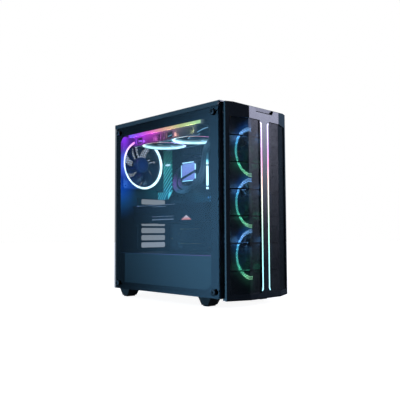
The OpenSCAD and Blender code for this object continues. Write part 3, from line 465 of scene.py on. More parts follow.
class Solid:
    """Collects closed shapes in millimetres into one piece."""

    def __init__(self):
        self.bm = bmesh.new()

    def verts(self, points):
        return [self.bm.verts.new([c * MM for c in p]) for p in points]

    def face(self, verts, mat=0):
        try:
            self.bm.faces.new(verts).material_index = mat
        except ValueError:
            pass

    def loft(self, rings, mat=0, closed=False):
        """A skin through rings of the same number of points, capped unless it closes."""
        rows = [self.verts(r) for r in rings]
        n = len(rows[0])
        pairs = list(zip(rows, rows[1:])) + ([(rows[-1], rows[0])] if closed else [])
        for low, high in pairs:
            for k in range(n):
                j = (k + 1) % n
                self.face((low[k], low[j], high[j], high[k]), mat)
        if not closed:
            self.face(rows[0][::-1], mat)
            self.face(rows[-1], mat)

    def prism(self, axis, outline, low, high, mat=0, chamfer=0.0):
        """An outline drawn out along an axis."""
        if chamfer:
            cu = sum(p[0] for p in outline) / len(outline)
            cv = sum(p[1] for p in outline) / len(outline)
            half = max(max(abs(p[0] - cu), abs(p[1] - cv)) for p in outline)
            k = 1 - chamfer / half
            inner = [(cu + (p[0] - cu) * k, cv + (p[1] - cv) * k) for p in outline]
            levels = [(inner, low), (outline, low + chamfer), (outline, high - chamfer),
                      (inner, high)]
        else:
            levels = [(outline, low), (outline, high)]
        self.loft([[lift(axis, a, b, h) for a, b in line] for line, h in levels], mat)

    def box(self, x, y, z, mat=0, chamfer=0.0):
        """A box between pairs of coordinates, its edges cut off by a chamfer."""
        c = min(chamfer, (x[1] - x[0]) / 3, (y[1] - y[0]) / 3, (z[1] - z[0]) / 3)
        levels = ((z[0], c), (z[0] + c, 0), (z[1] - c, 0), (z[1], c))
        rings = []
        for h, inset in levels if c else ((z[0], 0), (z[1], 0)):
            x0, x1, y0, y1 = x[0] + inset, x[1] - inset, y[0] + inset, y[1] - inset
            ring = ([(x0 + c, y0), (x1 - c, y0), (x1, y0 + c), (x1, y1 - c), (x1 - c, y1),
                     (x0 + c, y1), (x0, y1 - c), (x0, y0 + c)] if c else
                    [(x0, y0), (x1, y0), (x1, y1), (x0, y1)])
            rings.append([(a, b, h) for a, b in ring])
        self.loft(rings, mat)

    def lathe(self, axis, centre, profile, n, mat=0):
        """Turns a closed outline of (radius, height) round an axis through centre."""
        self.loft([[turn(axis, centre, r, 2 * math.pi * k / n, h) for r, h in profile]
                   for k in range(n)], mat, closed=True)

    def button(self, axis, centre, profile, n, mat=0):
        """Turns an open outline of (radius, height) into a closed solid with flat ends."""
        self.loft([[turn(axis, centre, r, 2 * math.pi * k / n, h) for k in range(n)]
                   for r, h in profile], mat)

    def finish(self, name, body, slot, mats, smooth, stands_for=()):
        """Makes the object, which rides on a body and may stand for CAD nodes."""
        bmesh.ops.remove_doubles(self.bm, verts=self.bm.verts, dist=1e-7)
        bmesh.ops.recalc_face_normals(self.bm, faces=self.bm.faces)
        mesh = bpy.data.meshes.new(name)
        self.bm.to_mesh(mesh)
        self.bm.free()
        ob = bpy.data.objects.new(name, mesh)
        bpy.context.scene.collection.objects.link(ob)
        for m in mats if isinstance(mats, (list, tuple)) else [mats]:
            mesh.materials.append(m)
        mesh.shade_smooth()
        mesh.set_sharp_from_angle(angle=math.radians(smooth))
        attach(ob, body)
        if stands_for:
            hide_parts(*stands_for)


def rounded(cx, cy, w, h, r, n=5):
    """A rounded rectangle's outline about a centre."""
    out = []
    for sx, sy, start in ((1, -1, -90), (1, 1, 0), (-1, 1, 90), (-1, -1, 180)):
        x, y = cx + sx * (w / 2 - r), cy + sy * (h / 2 - r)
        for k in range(n + 1):
            a = math.radians(start + 90 * k / n)
            out.append((x + r * math.cos(a), y + r * math.sin(a)))
    return out


def perforated(solid, place, u_span, v_span, pitch, open_share, mat=0):
    """A sheet with six-sided holes. place(u, v, depth) maps it into space."""
    rows = max(1, round((v_span[1] - v_span[0]) / (pitch * 0.866)))
    cols = max(1, round((u_span[1] - u_span[0]) / pitch))
    du = (u_span[1] - u_span[0]) / cols
    dv = (v_span[1] - v_span[0]) / rows
    r = pitch * open_share / 2
    corners = [(math.cos(math.radians(a)), math.sin(math.radians(a)))
               for a in (30, 90, 150, 210, 270, 330)]
    grid = {}

    def corner(u, v, depth):
        key = (round(u, 3), round(v, 3), depth)
        if key not in grid:
            grid[key] = solid.verts([place(min(max(u, u_span[0]), u_span[1]), v, depth)])[0]
        return grid[key]

    for row in range(rows):
        v0 = v_span[0] + row * dv
        shift = 0.5 * du * (row % 2)
        for col in range(cols + (row % 2)):
            u0 = u_span[0] + col * du - shift
            cu, cv = u0 + du / 2, v0 + dv / 2
            lo, hi = max(u0, u_span[0]), min(u0 + du, u_span[1])
            whole = hi - lo > du * 0.9
            outer = [(hi, v0 + dv), ((lo + hi) / 2, v0 + dv), (lo, v0 + dv),
                     (lo, v0), ((lo + hi) / 2, v0), (hi, v0)]
            if not whole:
                outer = [outer[k] for k in (0, 2, 3, 5)]
            for depth in (0, 1):
                ring = [corner(a, b, depth) for a, b in outer]
                if not whole:
                    solid.face(ring if depth else ring[::-1], mat)
                    continue
                hole = solid.verts([place(cu + r * a, cv + r * b, depth) for a, b in corners])
                if depth:
                    back = hole
                else:
                    front = hole
                for k in range(6):
                    j = (k + 1) % 6
                    quad = (ring[k], ring[j], hole[j], hole[k])
                    solid.face(quad if depth else quad[::-1], mat)
            if whole:
                for k in range(6):
                    j = (k + 1) % 6
                    solid.face((front[k], front[j], back[j], back[k]), mat)
    # Walls round the sheet's edge
    for side in range(4):
        fixed, other = (0, 1) if side < 2 else (1, 0)
        limit = round((u_span, v_span)[fixed][side % 2], 3)
        line = sorted((key for key in grid if key[2] == 0 and abs(key[fixed] - limit) < 0.002),
                      key=lambda key: key[other])
        for a, b in zip(line, line[1:]):
            solid.face((grid[a], grid[b], grid[(*b[:2], 1)], grid[(*a[:2], 1)]), mat)


# ---- mesh sheets

def front_place(side):
    """Maps a distance along the front surface and a height to a point on the mesh."""
    # Half widths of the pillar, the flat face and the whole front; its depth at the last two
    pillar, flat, edge, front, back = 16.6, 53.1, 100.1, 220.0, 201.1
    sunk, thick = 2.55, 0.9
    first, slant = flat - pillar, math.hypot(edge - flat, front - back)

    def place(u, v, depth):
        inset = sunk + thick * depth
        if u < first:
            return (side * (pillar + u), -front + inset, v)
        k = (u - first) / slant
        x = flat + k * (edge - flat)
        y = front - k * (front - back)
        # Inwards along the facet's normal, which is reached gradually past the bend
        return (side * (x - 0.376 * inset * min(1, k * 8)), -y + 0.93 * inset, v)
    return place, first + slant


for side, word in ((-1, "left"), (1, "right")):
    place, length = front_place(side)
    sheet = Solid()
    perforated(sheet, place, (0, length), (26.2, 426.8), 3.3, 0.74)
    sheet.finish(f"front_mesh_{word}", "front_cover", "front_mesh", MESH_BLACK, 20,
                 stands_for=("front_mesh",))


# ---- fans

def rotor(node, hub_look, blade_look, axis, tip, hub, blades, sweep):
    """A hub and curved, pitched blades in the room of a CAD rotor, its face at the low end."""
    low, high = ([c / MM for c in corner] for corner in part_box(node))
    i, j, k = AXES[axis]
    centre = ((low[i] + high[i]) / 2, (low[j] + high[j]) / 2)
    back, front = high[k], low[k]
    depth = front - back
    s = Solid()
    s.button(axis, centre, [(hub - 3, back), (hub - 0.4, back + depth * 0.04),
                            (hub, back + depth * 0.12), (hub, front - depth * 0.16),
                            (hub - 0.7, front - depth * 0.07), (hub - 2.4, front - depth * 0.015),
                            (hub - 4, front), (hub - 6, front), (hub - 6.4, front - depth * 0.03),
                            (2, front - depth * 0.03)], 56)
    # Each blade: sections from hub to tip, each a thin cambered aerofoil across the sweep
    steps, chords = 9, 8
    for b in range(blades):
        base = 2 * math.pi * b / blades
        rings = []
        for m in range(steps + 1):
            t = m / steps
            r = hub - 1.5 + t * (tip - hub + 1.5)
            wide = (0.92 + 0.5 * t) * math.pi / blades * (1 - 0.1 * t * t)
            rise = depth * 0.86 * (1 - 0.36 * t)
            mid = base + sweep * t * t
            top, under = [], []
            for c in range(chords + 1):
                q = c / chords - 0.5
                a = mid + q * 2 * wide * 0.62
                camber = (0.25 - q * q) * depth * 0.16
                h = back + depth * 0.5 + q * rise + camber
                thick = 0.75 * math.sqrt(max(0.04, 1 - (2 * q) ** 2))
                top.append(turn(axis, centre, r, a, h - thick))
                under.append(turn(axis, centre, r, a, h + thick))
            rings.append(top + under[::-1])
        s.loft(rings, 1)
    s.finish(node + "_blades", node, "rotor_plastic", [hub_look, blade_look], 50,
             stands_for=(node,))


def blue_wash(t):
    """The ring's light on a rotor's blades, fading towards the roof and the right."""
    return spots(t, [((-75, 190, 330), 95, (0.01, 0.05, 0.26)),
                     ((-35, 190, 357), 30, (0.01, 0.06, 0.32))]
                 + [((-60, -170, 114 + FAN_STEP * k), 70, (0.0, 0.03, 0.06)) for k in range(3)])


HUB = surface("rotor_hub", (0.012, 0.03, 0.055), 0.35, coat=0.2, grain=2200, spill=blue_wash)
BLADE = surface("lit_blade", (0.008, 0.02, 0.045), 0.35, spill=blue_wash, strength=0.6)
CARD_BLADE = surface("card_blade", (0.03, 0.032, 0.037), 0.35)
for k in range(3):
    rotor(f"front_rotor_{k + 1}", HUB, BLADE, "y", 53.4, 20, 7, 0.35)
rotor("rear_rotor", HUB, BLADE, "y", 63.4, 22, 7, -0.42)
for k in range(2):
    rotor(f"top_rotor_{k + 1}", HUB, BLADE, "z", 53.4, 20, 7, 0.35)
    rotor(f"card_rotor_{k + 1}", CARD_BLADE, CARD_BLADE, "z", 43.6, 15, 11, 0.5)
rotor("psu_rotor", CARD_BLADE, CARD_BLADE, "z", 56.6, 20, 9, 0.4)


def ring_light(name, axis, centre, outer, width, face, stops, strength):
    """A lit ring: a rounded bar turned round the fan's axis, 5 mm deep from its face."""
    inner, back = outer - width, face + 5
    s = Solid()
    s.lathe(axis, centre, [(inner, back), (inner, face + 1.4), (inner + 0.7, face + 0.4),
                           (inner + 1.8, face), (outer - 1.8, face), (outer - 0.7, face + 0.4),
                           (outer, face + 1.4), (outer, back)], 96)
    i, j, _ = AXES[axis]
    look = glow(name + "_glow", stops, round_centre(i, j, *centre), strength, leds=12)
    s.finish(name, "chassis", "ring_light", look, 50, stands_for=("fan_light_rings",))


# Colours go anticlockwise in (x, z), from -x through -z to +x and +z
FRONT_RING = [(0.0, (0.08, 0.62, 0.6)), (0.1, (0.1, 0.75, 0.5)), (0.2, (0.3, 0.85, 0.45)),
              (0.33, (0.4, 0.8, 0.5)), (0.5, (0.1, 0.4, 0.4)), (0.66, (0.05, 0.2, 0.5)),
              (0.76, (0.2, 0.5, 1.0)), (0.86, (0.25, 0.55, 1.0)), (0.94, (0.08, 0.5, 0.8)),
              (1.0, (0.08, 0.62, 0.6))]
REAR_RING = [(0.0, (0.75, 0.85, 1.0)), (0.25, (0.75, 1.0, 1.0)), (0.5, (0.75, 1.0, 0.95)),
             (0.72, (0.6, 0.85, 1.0)), (0.755, (0.2, 0.06, 0.4)), (0.8, (0.25, 0.04, 0.4)),
             (0.84, (1.0, 0.25, 0.75)), (0.91, (0.95, 0.6, 0.95)), (1.0, (0.75, 0.85, 1.0))]
TOP_RING = [(0.0, (0.95, 0.9, 0.75)), (0.1, (1.0, 0.6, 0.45)), (0.2, (1.0, 0.25, 0.65)),
            (0.3, (0.7, 0.4, 0.9)), (0.42, (0.6, 0.8, 1.0)), (0.6, (0.6, 0.95, 1.0)),
            (0.8, (0.6, 1.0, 0.9)), (0.9, (0.8, 1.0, 0.85)), (1.0, (0.95, 0.9, 0.75))]
for k, centre in enumerate(FRONT_FANS):
    ring_light(f"front_ring_{k + 1}", "y", centre, 58.8, 9, -179.5, FRONT_RING, 1.7)
ring_light("rear_ring", "y", REAR_FAN, 68.8, 5.4, 182, REAR_RING, 7.5)
for k, centre in enumerate(TOP_FANS):
    ring_light(f"top_ring_{k + 1}", "z", centre, 58.8, 4.6, 397, TOP_RING, 6)


# ---- screws


def cross_screw(solid, axis, centre, base, out, radius, height, knurl=False):
    """A screw head with a cross recess. out is +1 or -1 along the axis."""
    n = 48
    rings = []
    for share_r, share_h in ((0.94, 0), (1, 0.08), (1, 0.78), (0.94, 0.93), (0.84, 1)):
        ring = []
        for k in range(n):
            notch = 1 - (0.035 if knurl and k % 4 < 2 and 0.05 < share_h < 0.9 else 0)
            r = radius * share_r * notch
            a = 2 * math.pi * k / n
            ring.append(turn(axis, centre, r, a, base + out * height * share_h))
        rings.append(ring)
    # The recess: the same ring pulled in to a cross, then down
    for depth in (1.0, 0.45):
        ring = []
        for k in range(n):
            a = 2 * math.pi * k / n
            arm = max(abs(math.cos(a)), abs(math.sin(a)))
            r = radius * (0.42 if arm > 0.93 else 0.16 / max(0.3, math.sqrt(1 - arm * arm)))
            ring.append(turn(axis, centre, r, a, base + out * height * depth))
        rings.append(ring)
    solid.loft(rings)


for k, (y, z) in enumerate(((-165, 34), (-165, 436), (190, 34), (190, 436))):
    s = Solid()
    cross_screw(s, "x", (y, z), -114.05, -1, 7, 4.9, knurl=True)
    s.button("x", (y, z), [(2, -114.1), (2, -105.6), (1.4, -105.05)], 20)
    s.finish(f"glass_screw_{k + 1}_head", f"glass_screw_{k + 1}", "screw_steel", SCREW_BLACK,
             30, stands_for=(f"glass_screw_{k + 1}",))


# ---- cooler

PUMP_BLACK = surface("pump_housing", (0.012, 0.013, 0.016), 0.3, coat=0.4)
CAP_FACE = glow("pump_face_glow", [(0, (0.22, 0.24, 0.75)), (0.5, (0.32, 0.32, 0.82)),
                                   (1, (0.3, 0.42, 0.9))], along_axis(2, 304, 362), 2.0)
CAP_EDGE = glow("pump_edge_glow", [(0, (0.35, 0.8, 0.95)), (1, (0.5, 0.85, 1))],
                along_axis(2, 304, 362), 5)
s = Solid()
s.prism("x", rounded(*PUMP, 58, 54, 8), 32.2, 34, 0, 0.4)
s.loft([[(x, y, z) for y, z in rounded(*PUMP, w, h, r)] for x, w, h, r in
        ((31.6, 57, 53, 7.5), (31.0, 56, 52, 7), (31.0, 51, 47, 5), (31.9, 50.4, 46.4, 4.8),
         (32.4, 50.4, 46.4, 4.8))])
# Upper and lower lit panes on either side of a dark diagonal band, and bright edges
s.prism("x", [(96.4, 319), (97, 322), (97, 351), (93, 355), (47, 355), (45.5, 352),
              (45.5, 336)], 31.5, 32.4, 1, 0.3)
s.prism("x", [(96.4, 312), (97, 310), (94, 308.4), (50, 309), (45.5, 312), (45.5, 329)],
        31.5, 32.4, 1)
for y, z in (((42.2, 45.2), (336, 352)), ((42.2, 45.2), (312, 326)), ((97, 99.6), (318, 352)),
             ((49, 94), (356.4, 359)), ((52, 95), (306.8, 309))):
    s.box((30.3, 32.4), y, z, 2, 0.3)
s.finish("pump_face", "chassis", "pump_light", [PUMP_BLACK, CAP_FACE, CAP_EDGE], 30,
         stands_for=("pump_cap",))

s = Solid()
for z in (346, 322):
    s.lathe("y", (46, z), [(5.9, 104), (7.2, 104), (7.6, 105), (7.6, 111), (6.8, 112.5),
                           (5.9, 112.5)], 12)
for x, y in ((-58, -103), (-22, -103)):
    s.lathe("z", (x, y), [(5.9, 416), (7.2, 416), (7.6, 415), (7.6, 408), (6.8, 406.5),
                          (5.9, 406.5)], 12)
s.finish("tube_collars", "chassis", "port_metal", FINS, 25)


# ---- memory

MEMORY_GREY = surface("memory_shell", (0.045, 0.05, 0.056), 0.3, 0.9, mottle=0.1, grain=900,
                      stretch=(1, 1, 10))
MEMORY_LIT = glow("memory_glow", [(0, (0.6, 0.9, 1)), (0.5, (0.7, 1, 1)), (0.57, (0.2, 0.6, 0.7)),
                                  (0.62, (0.01, 0.05, 0.07)), (0.9, (0.01, 0.04, 0.05)),
                                  (0.94, (0.7, 0.8, 1)), (1, (0.7, 0.8, 1))],
                  along_axis(2, 281, 411), 7)
s = Solid()
for y in (3, -16):
    s.box((38, 72), (y - 3.3, y + 3.3), (279.2, 412.8), 0, 0.6)
    for k in range(9):
        z = 286 + k * 14
        for side in (-1, 1):
            s.box((44, 66), (y + side * 3.3 - 0.3, y + side * 3.3 + 0.3), (z, z + 9), 0, 0.25)
    for z0, z1 in ((281, 286.5), (290.5, 343), (347, 411)):
        s.prism("z", [(33.6, y - 1.6), (35, y - 2.7), (38.2, y - 2.7), (38.2, y + 2.7),
                      (35, y + 2.7), (33.6, y + 1.6)], z0, z1, 1)
s.finish("memory_modules", "chassis", "memory_metal", [MEMORY_GREY, MEMORY_LIT], 30,
         stands_for=("memory_sticks",))


# ---- cover by the rear sockets


def lined_cover_painted_light():
    """A black cover with slanting lines in relief, under painted teal light and painted
    highlights along the lines, which fade upwards.
    """
    t = Tree("lined_cover_painted_light")
    xyz = t.xyz()
    slant = t.math("ADD", xyz[2], t.times(xyz[1], 1.35))
    line = t.span(t.math("SINE", t.times(slant, 2 * math.pi / 0.0125)), 0.6, 0.9)
    height = t.span(xyz[2], 0.262, 0.412)
    # Painted teal light, changing with height
    base = t.ramp(height, [(0, (0.01, 0.35, 0.5)), (0.14, (0.01, 0.35, 0.42)),
                           (0.2, (0.01, 0.28, 0.3)), (0.45, (0.01, 0.3, 0.26)),
                           (0.6, (0.02, 0.5, 0.42)), (0.72, (0.01, 0.2, 0.13)),
                           (1, (0.01, 0.12, 0.08))])
    # Painted highlights along the lines
    bright = t.ramp(height, [(0, (0.6, 2.6, 2.9)), (0.3, (0.3, 2.0, 1.9)),
                             (0.6, (0.3, 1.6, 1.3)), (0.75, (0.05, 0.6, 0.35)),
                             (1, (0.03, 0.3, 0.2))])
    lit = t.mix(line, base, bright)
    # Painted shade: only the side that faces the glass gets the painted light, and the leg behind
    # it is painted dark
    lit = t.mix(t.span(xyz[0], 0.0465, 0.0435), (0.002, 0.014, 0.016), lit)
    p = t.add("BsdfPrincipled", Base_Color=t.mix(0.6, lit, (0.01, 0.02, 0.02)),
              Roughness=t.span(t.noise(40), 0.3, 0.7, 0.3, 0.45), Emission_Color=lit,
              Emission_Strength=0.9, Normal=t.bump(line, 0.0002))
    return t.finish(p.outputs[0])


s = Solid()
s.prism("z", [(36, 178), (36, 176), (42, 152.2), (77, 152.2), (77, 154), (44.4, 154),
              (39.5, 177.6), (39.5, 181), (36.2, 181)], 284, 411.5, 0)
s.loft([[(36, 172, 262.4), (36, 205, 262.4), (46, 205, 262.4), (46, 170, 262.4)],
        [(36, 153.5, 283), (36, 205, 283), (46, 205, 283), (46, 152.5, 283)]], 0)
COVER_MARK = glow("cover_mark", [(0, (0.6, 1, 0.95)), (1, (0.8, 1, 1))],
                  along_axis(2, 340, 380), 3.2)
# A plain oval light, laid on the slanted side
oval = [(164 + 8.5 * math.cos(a), 360 + 3 * math.sin(a))
        for a in (2 * math.pi * k / 24 for k in range(24))]
s.loft([[(36 + (176 - y) * 0.252 - d, y, z) for y, z in oval] for d in (-0.3, 0.8)], 1)
s.finish("socket_cover", "chassis", "black_plastic", [lined_cover_painted_light(), COVER_MARK], 25,
         stands_for=("io_cover",))


# ---- graphics card

CARD_BLACK = surface("card_housing", (0.02, 0.022, 0.026), 0.4, grain=2200)
CARD_GREY = surface("card_trim", (0.11, 0.12, 0.135), 0.32, 0.8, grain=1200,
                    stretch=(1, 12, 1))
# The card's light bar, and also the painted highlights along the backplate's edge
CARD_LIGHT_AND_HIGHLIGHT = glow("card_light", [(0, (0.35, 0.5, 0.62)), (1, (0.5, 0.62, 0.8))],
                along_axis(1, -60, 190), 1.1)
CARD_MARK = glow("card_mark", [(0, (0.55, 0.12, 0.1)), (0.3, (1.0, 0.35, 0.3)),
                               (0.6, (0.9, 0.8, 0.85)), (1, (0.6, 0.9, 0.85))],
                 along_axis(2, 194, 216), 2.6)
s = Solid()
# Angled plates along the side, a light bar between them and a plain triangle
s.prism("x", [(196, 233), (196, 222), (150, 219), (120, 219), (114, 224), (30, 222), (20, 228),
              (-76, 230), (-80, 234)], -58.6, CARD_FACE, 0, 0.5)
s.prism("x", [(196, 196), (196, 207), (170, 210), (140, 209), (126, 200), (126, 196)],
        -58.4, CARD_FACE, 0, 0.5)
s.prism("x", [(-40, 199), (-62, 221), (-80, 223), (-80, 197)], -58.4, CARD_FACE, 0, 0.5)
s.box((-57.9, CARD_FACE), (33, 118), (199.5, 202.3), 1, 0.3)
s.box((-57.9, CARD_FACE), (33, 118), (208.3, 209.6), 1, 0.3)
s.box((-57.7, CARD_FACE), (36, 115), (203.4, 207.2), 2, 0.3)
s.prism("x", [(13, 196), (-17, 214), (-44, 196)], -57.9, CARD_FACE, 2, 0.4)
s.prism("x", [(3, 198.4), (-16, 210), (-34, 198.4)], -58.3, -57.8, 3, 0.2)
# Painted highlights: a glowing line along the backplate's edge under a grey strip, and a shorter
# one lower on the side
s.box((-57.7, -56.7), (27, 184), (238.8, 239.8), 1, 0.2)
s.box((-57.6, -56.7), (27, 184), (240.0, 240.4), 2, 0.1)
s.box((-57.9, CARD_FACE), (62, 119), (234.6, 235.8), 1, 0.2)
s.finish("card_side_trim", "chassis", "black_plastic",
         [CARD_BLACK, CARD_LIGHT_AND_HIGHLIGHT, CARD_GREY, CARD_MARK], 30)
# Raised rims round the two fan openings and struts below them
s = Solid()
for y in (112, 4):
    s.lathe("z", (2, y), [(46.2, 196.9), (46.2, 192.6), (47.4, 191.8), (49.5, 192.4),
                          (50.5, 193.4), (50.5, 193.6), (47.2, 196.9)], 72)
for x0, x1, y0, y1 in ((-52, -20, 162, 190), (24, 56, 162, 190), (-52, -20, -78, -50),
                       (24, 56, -78, -50)):
    s.prism("z", [(x0, y0), (x1, y0), (x1, y1), (x0, y1)], 191.9, 193.2, 0, 0.5)
s.finish("card_fan_rims", "chassis", "black_plastic", CARD_BLACK, 30)


# ---- motherboard

METAL_CAN = surface("metal_can", (0.4, 0.42, 0.46), 0.25, 1.0, grain=900)
CHIP = surface("chip_resin", (0.015, 0.015, 0.017), 0.35, grain=1800)
GREY_METAL = surface("dark_heatsink", (0.05, 0.055, 0.065), 0.32, 0.85, mottle=0.12, grain=900,
                     stretch=(1, 1, 12))
# Painted teal highlights, glowing where the board's edges catch the light
TEAL_GLINT = glow("board_glint_glow", [(0, (0.05, 0.5, 0.6)), (1, (0.25, 0.8, 0.9))],
                 along_axis(2, 116, 420), 2.0)
GOLD = surface("contact_gold", (0.7, 0.5, 0.2), 0.3, 1.0, grain=900)
s = Solid()
# Chokes and capacitors of the power stages, left of and above the processor
for k in range(7):
    s.box((70, BOARD_FACE), (112.5, 120.5), (301 + k * 10.5, 309.5 + k * 10.5), 0, 0.8)
for k in range(6):
    s.button("x", (124.5, 306 + k * 11.5), [(3.1, BOARD_FACE), (3.1, 70.5), (2.7, 70)], 20, 1)
for k in range(8):
    s.button("x", (47 + k * 8, 379.5), [(2.6, BOARD_FACE), (2.6, 70.5), (2.2, 70)], 20, 1)
for y, z in ((26, 262), (34, 262), (26, 254), (140, 272), (148, 272), (-26, 240), (-26, 250),
             (150, 126), (150, 136), (142, 126)):
    s.button("x", (y, z), [(2.6, BOARD_FACE), (2.6, 71), (2.2, 70.5)], 20, 1)
# Chips
for y0, y1, z0, z1 in ((-30, -18, 262, 274), (170, 182, 132, 144), (158, 170, 168, 176),
                       (-12, 2, 130, 142), (-34, -26, 208, 226), (128, 136, 250, 262),
                       (60, 68, 126, 134), (84, 92, 128, 134), (20, 32, 128, 140),
                       (-34, -24, 352, 364), (-34, -24, 372, 380)):
    s.box((76.6, BOARD_FACE), (y0, y1), (z0, z1), 0, 0.3)
for _ in range(150):
    y, z = random.uniform(-36, 196), random.uniform(120, 418)
    w, h = random.choice(((0.8, 1.6), (1.6, 0.8), (1.2, 2.4), (2.4, 1.2)))
    s.box((77.2, BOARD_FACE), (y - w, y + w), (z - h / 2, z + h / 2), random.choice((0, 0, 1, 3)))
# Clips and contact rows of the slots
for y in (12.5, 3, -6.5, -16):
    s.box((68, BOARD_FACE), (y - 3.4, y + 3.4), (417, 420.2), 0, 0.4)
    s.box((70, BOARD_FACE), (y - 3.4, y + 3.4), (273, 276), 0, 0.4)
for z in (238, 177.0, 136.4):
    s.box((64, BOARD_FACE), (50, 56), (z - 3.4, z + 3.4), 0, 0.5)
    s.box((66.6, 67.2), (58, 144), (z - 0.7, z + 0.7), 3)
# A painted highlight: a thin glowing teal line along the board's front edge
s.box((77, 78.6), (-38.8, -37.6), (170, 268), 2)
s.finish("board_parts", "chassis", "circuit_board", [CHIP, METAL_CAN, TEAL_GLINT, GOLD], 30)

s = Solid()
# Ribbed cover plates of the drive slot and the chipset
s.prism("x", [(38.5, 152.5), (121.5, 152.5), (121.5, 165.5), (38.5, 165.5)], 70.4, 72.2, 0, 0.7)
for k in range(6):
    s.prism("x", [(46 + k * 5, 153.5), (48 + k * 5, 153.5), (53 + k * 5, 164.5),
                  (51 + k * 5, 164.5)], 69.8, 70.6, 0)
s.prism("x", rounded(9, 176, 56, 58, 6), 68.6, 70.4, 0, 0.8)
for k in range(7):
    s.prism("x", [(-15 + k * 6, 152), (-13 + k * 6, 152), (-1 + k * 6, 168), (-3 + k * 6, 168)],
            67.9, 68.8, 0)
# A painted highlight: a thin glowing teal line across the chipset plate
s.prism("x", [(-16, 196), (34, 196), (34, 198), (-16, 198)], 68.0, 68.8, 1)
for y in (41.5, 118.5):
    s.button("x", (y, 159), [(2, 70.6), (2, 69.7), (1.6, 69.4)], 16, 0)
s.finish("board_plates", "chassis", "radiator_fins", [GREY_METAL, TEAL_GLINT], 30)


# ---- tray, drives and roof

s = Solid()
# Rubber lips of the cable openings in the tray
for y, z, w, h in ((-56, 170, 20, 80), (-56, 315, 20, 80), (-56, 70, 20, 60)):
    s.loft([[(x, a, b) for a, b in rounded(y, z, w + g, h + g, 9)] for x, g in
            ((83.2, 3), (83.0, 2), (83.0, -1.2), (85.8, -1.2), (85.8, 2), (85.6, 3))],
           0, closed=True)
for k in range(5):
    for z in (170, 315):
        s.box((84.2, 84.9), (-65.8, -55.6), (z - 36 + k * 15, z - 23 + k * 15), 0, 0.3)
s.finish("tray_grommets", "chassis", "rubber", RUBBER, 30)

s = Solid()
for z in (26, 62):
    s.box((74, 79.6), (-120, -58), (z + 4, z + 24), 0, 0.8)
    s.loft([[(x, a, b) for a, b in rounded(-89, z + 14, 40 - g, 10 - g, 4)] for x, g in
            ((79.7, 0), (80.2, 0.6), (80.2, 3), (78, 3.4), (78, 0))], 1, closed=True)
s.finish("drive_tray_fronts", "chassis", "black_plastic", [MATTE_BLACK, SCREW_BLACK], 30)


FILTER_SHEET = surface("filter_sheet", (0.025, 0.027, 0.03), 0.5, 0.2, grain=2600)
FILTER_LOOKS = [MATTE_BLACK, FILTER_SHEET]
FILTER_RIM = 6


def framed_filter(x, y, z, pitch, bars):
    """A filter: a moulded frame, cross bars and a fine perforated sheet."""
    s = Solid()
    x0, x1, y0, y1 = x[0] + FILTER_RIM, x[1] - FILTER_RIM, y[0] + FILTER_RIM, y[1] - FILTER_RIM
    cx, cy = (x[0] + x[1]) / 2, (y[0] + y[1]) / 2
    w, h = x[1] - x[0], y[1] - y[0]
    # Each level of the frame: its height and how far it lies inside the outline
    levels = ((z[0], 0), (z[1] - 0.4, 0), (z[1], 0.8), (z[1], FILTER_RIM), (z[0], FILTER_RIM))
    s.loft([[(a, b, level) for a, b in rounded(cx, cy, w - 2 * g, h - 2 * g, 3)]
            for level, g in levels], closed=True)
    for k in range(bars):
        b = y0 + (k + 1) * (y1 - y0) / (bars + 1)
        s.box((x0 - 0.5, x1 + 0.5), (b - 1.5, b + 1.5), (z[0] + 0.1, z[1] - 0.1))
    mid = (z[0] + z[1]) / 2

    def place(u, v, depth):
        return (x0 - 0.6 + u, y0 - 0.6 + v, mid - 0.25 if depth else mid + 0.15)

    perforated(s, place, (0, x1 - x0 + 1.2), (0, y1 - y0 + 1.2), pitch, 0.76, 1)
    return s


s = framed_filter((-94.5, 94.5), (-139.5, 194.5), (458.05, 459.95), 4.2, 1)
s.finish("top_filter_screen", "top_filter", "filter_mesh", FILTER_LOOKS, 30,
         stands_for=("top_filter",))
s = framed_filter((-71.3, 61.3), (48.2, 206.8), (17.55, 19.5), 4.4, 2)
s.box((-25, 15), (206.5, 214.9), (15.2, 19.4), 0, 0.9)
for k in range(5):
    s.box((-21 + k * 7, -17 + k * 7), (209, 213), (14.1, 15.4), 0, 0.3)
s.finish("bottom_filter_screen", "bottom_filter", "black_plastic", FILTER_LOOKS, 30,
         stands_for=("bottom_filter",))


# ---- buttons and front sockets

WHITE_RING = glow("button_glow", [(0, (0.5, 0.8, 1)), (1, (0.6, 0.9, 1))],
                  along_axis(2, 450, 461), 1.0)
PORT_BLUE = surface("port_blue", (0.02, 0.12, 0.5), 0.4)
s = Solid()
s.button("z", (-62, -164), [(8.9, 454), (8.9, 455.9), (7.5, 456), (7.5, 459.3), (7.1, 459.9),
                            (6.4, 460), (6.1, 459.8), (5.6, 459.8), (5.3, 459.95), (2, 459.75)],
         56, 0)
s.lathe("z", (-62, -164), [(5.5, 459.5), (6.2, 459.5), (6.2, 459.92), (5.5, 459.92)], 56, 1)
s.finish("power_button_cap", "power_button", "button_ring", [SCREW_BLACK, WHITE_RING], 25,
         stands_for=("power_button",))
s = Solid()
s.button("z", (-40, -164), [(5.9, 454), (5.9, 455.9), (4.5, 456), (4.5, 459.4), (4.1, 459.95),
                            (3, 459.95), (1, 459.7)], 40, 0)
s.finish("light_button_cap", "light_button", "black_plastic", SCREW_BLACK, 25,
         stands_for=("light_button",))
s = Solid()
for x in (0, 20):
    s.box((x - 5.2, x + 5.2), (-165.2, -163.6), (450.2, 458.6), 0, 0.3)
s.finish("front_socket_tongues", "chassis", "port_metal", PORT_BLUE, 30)


# ---- rear

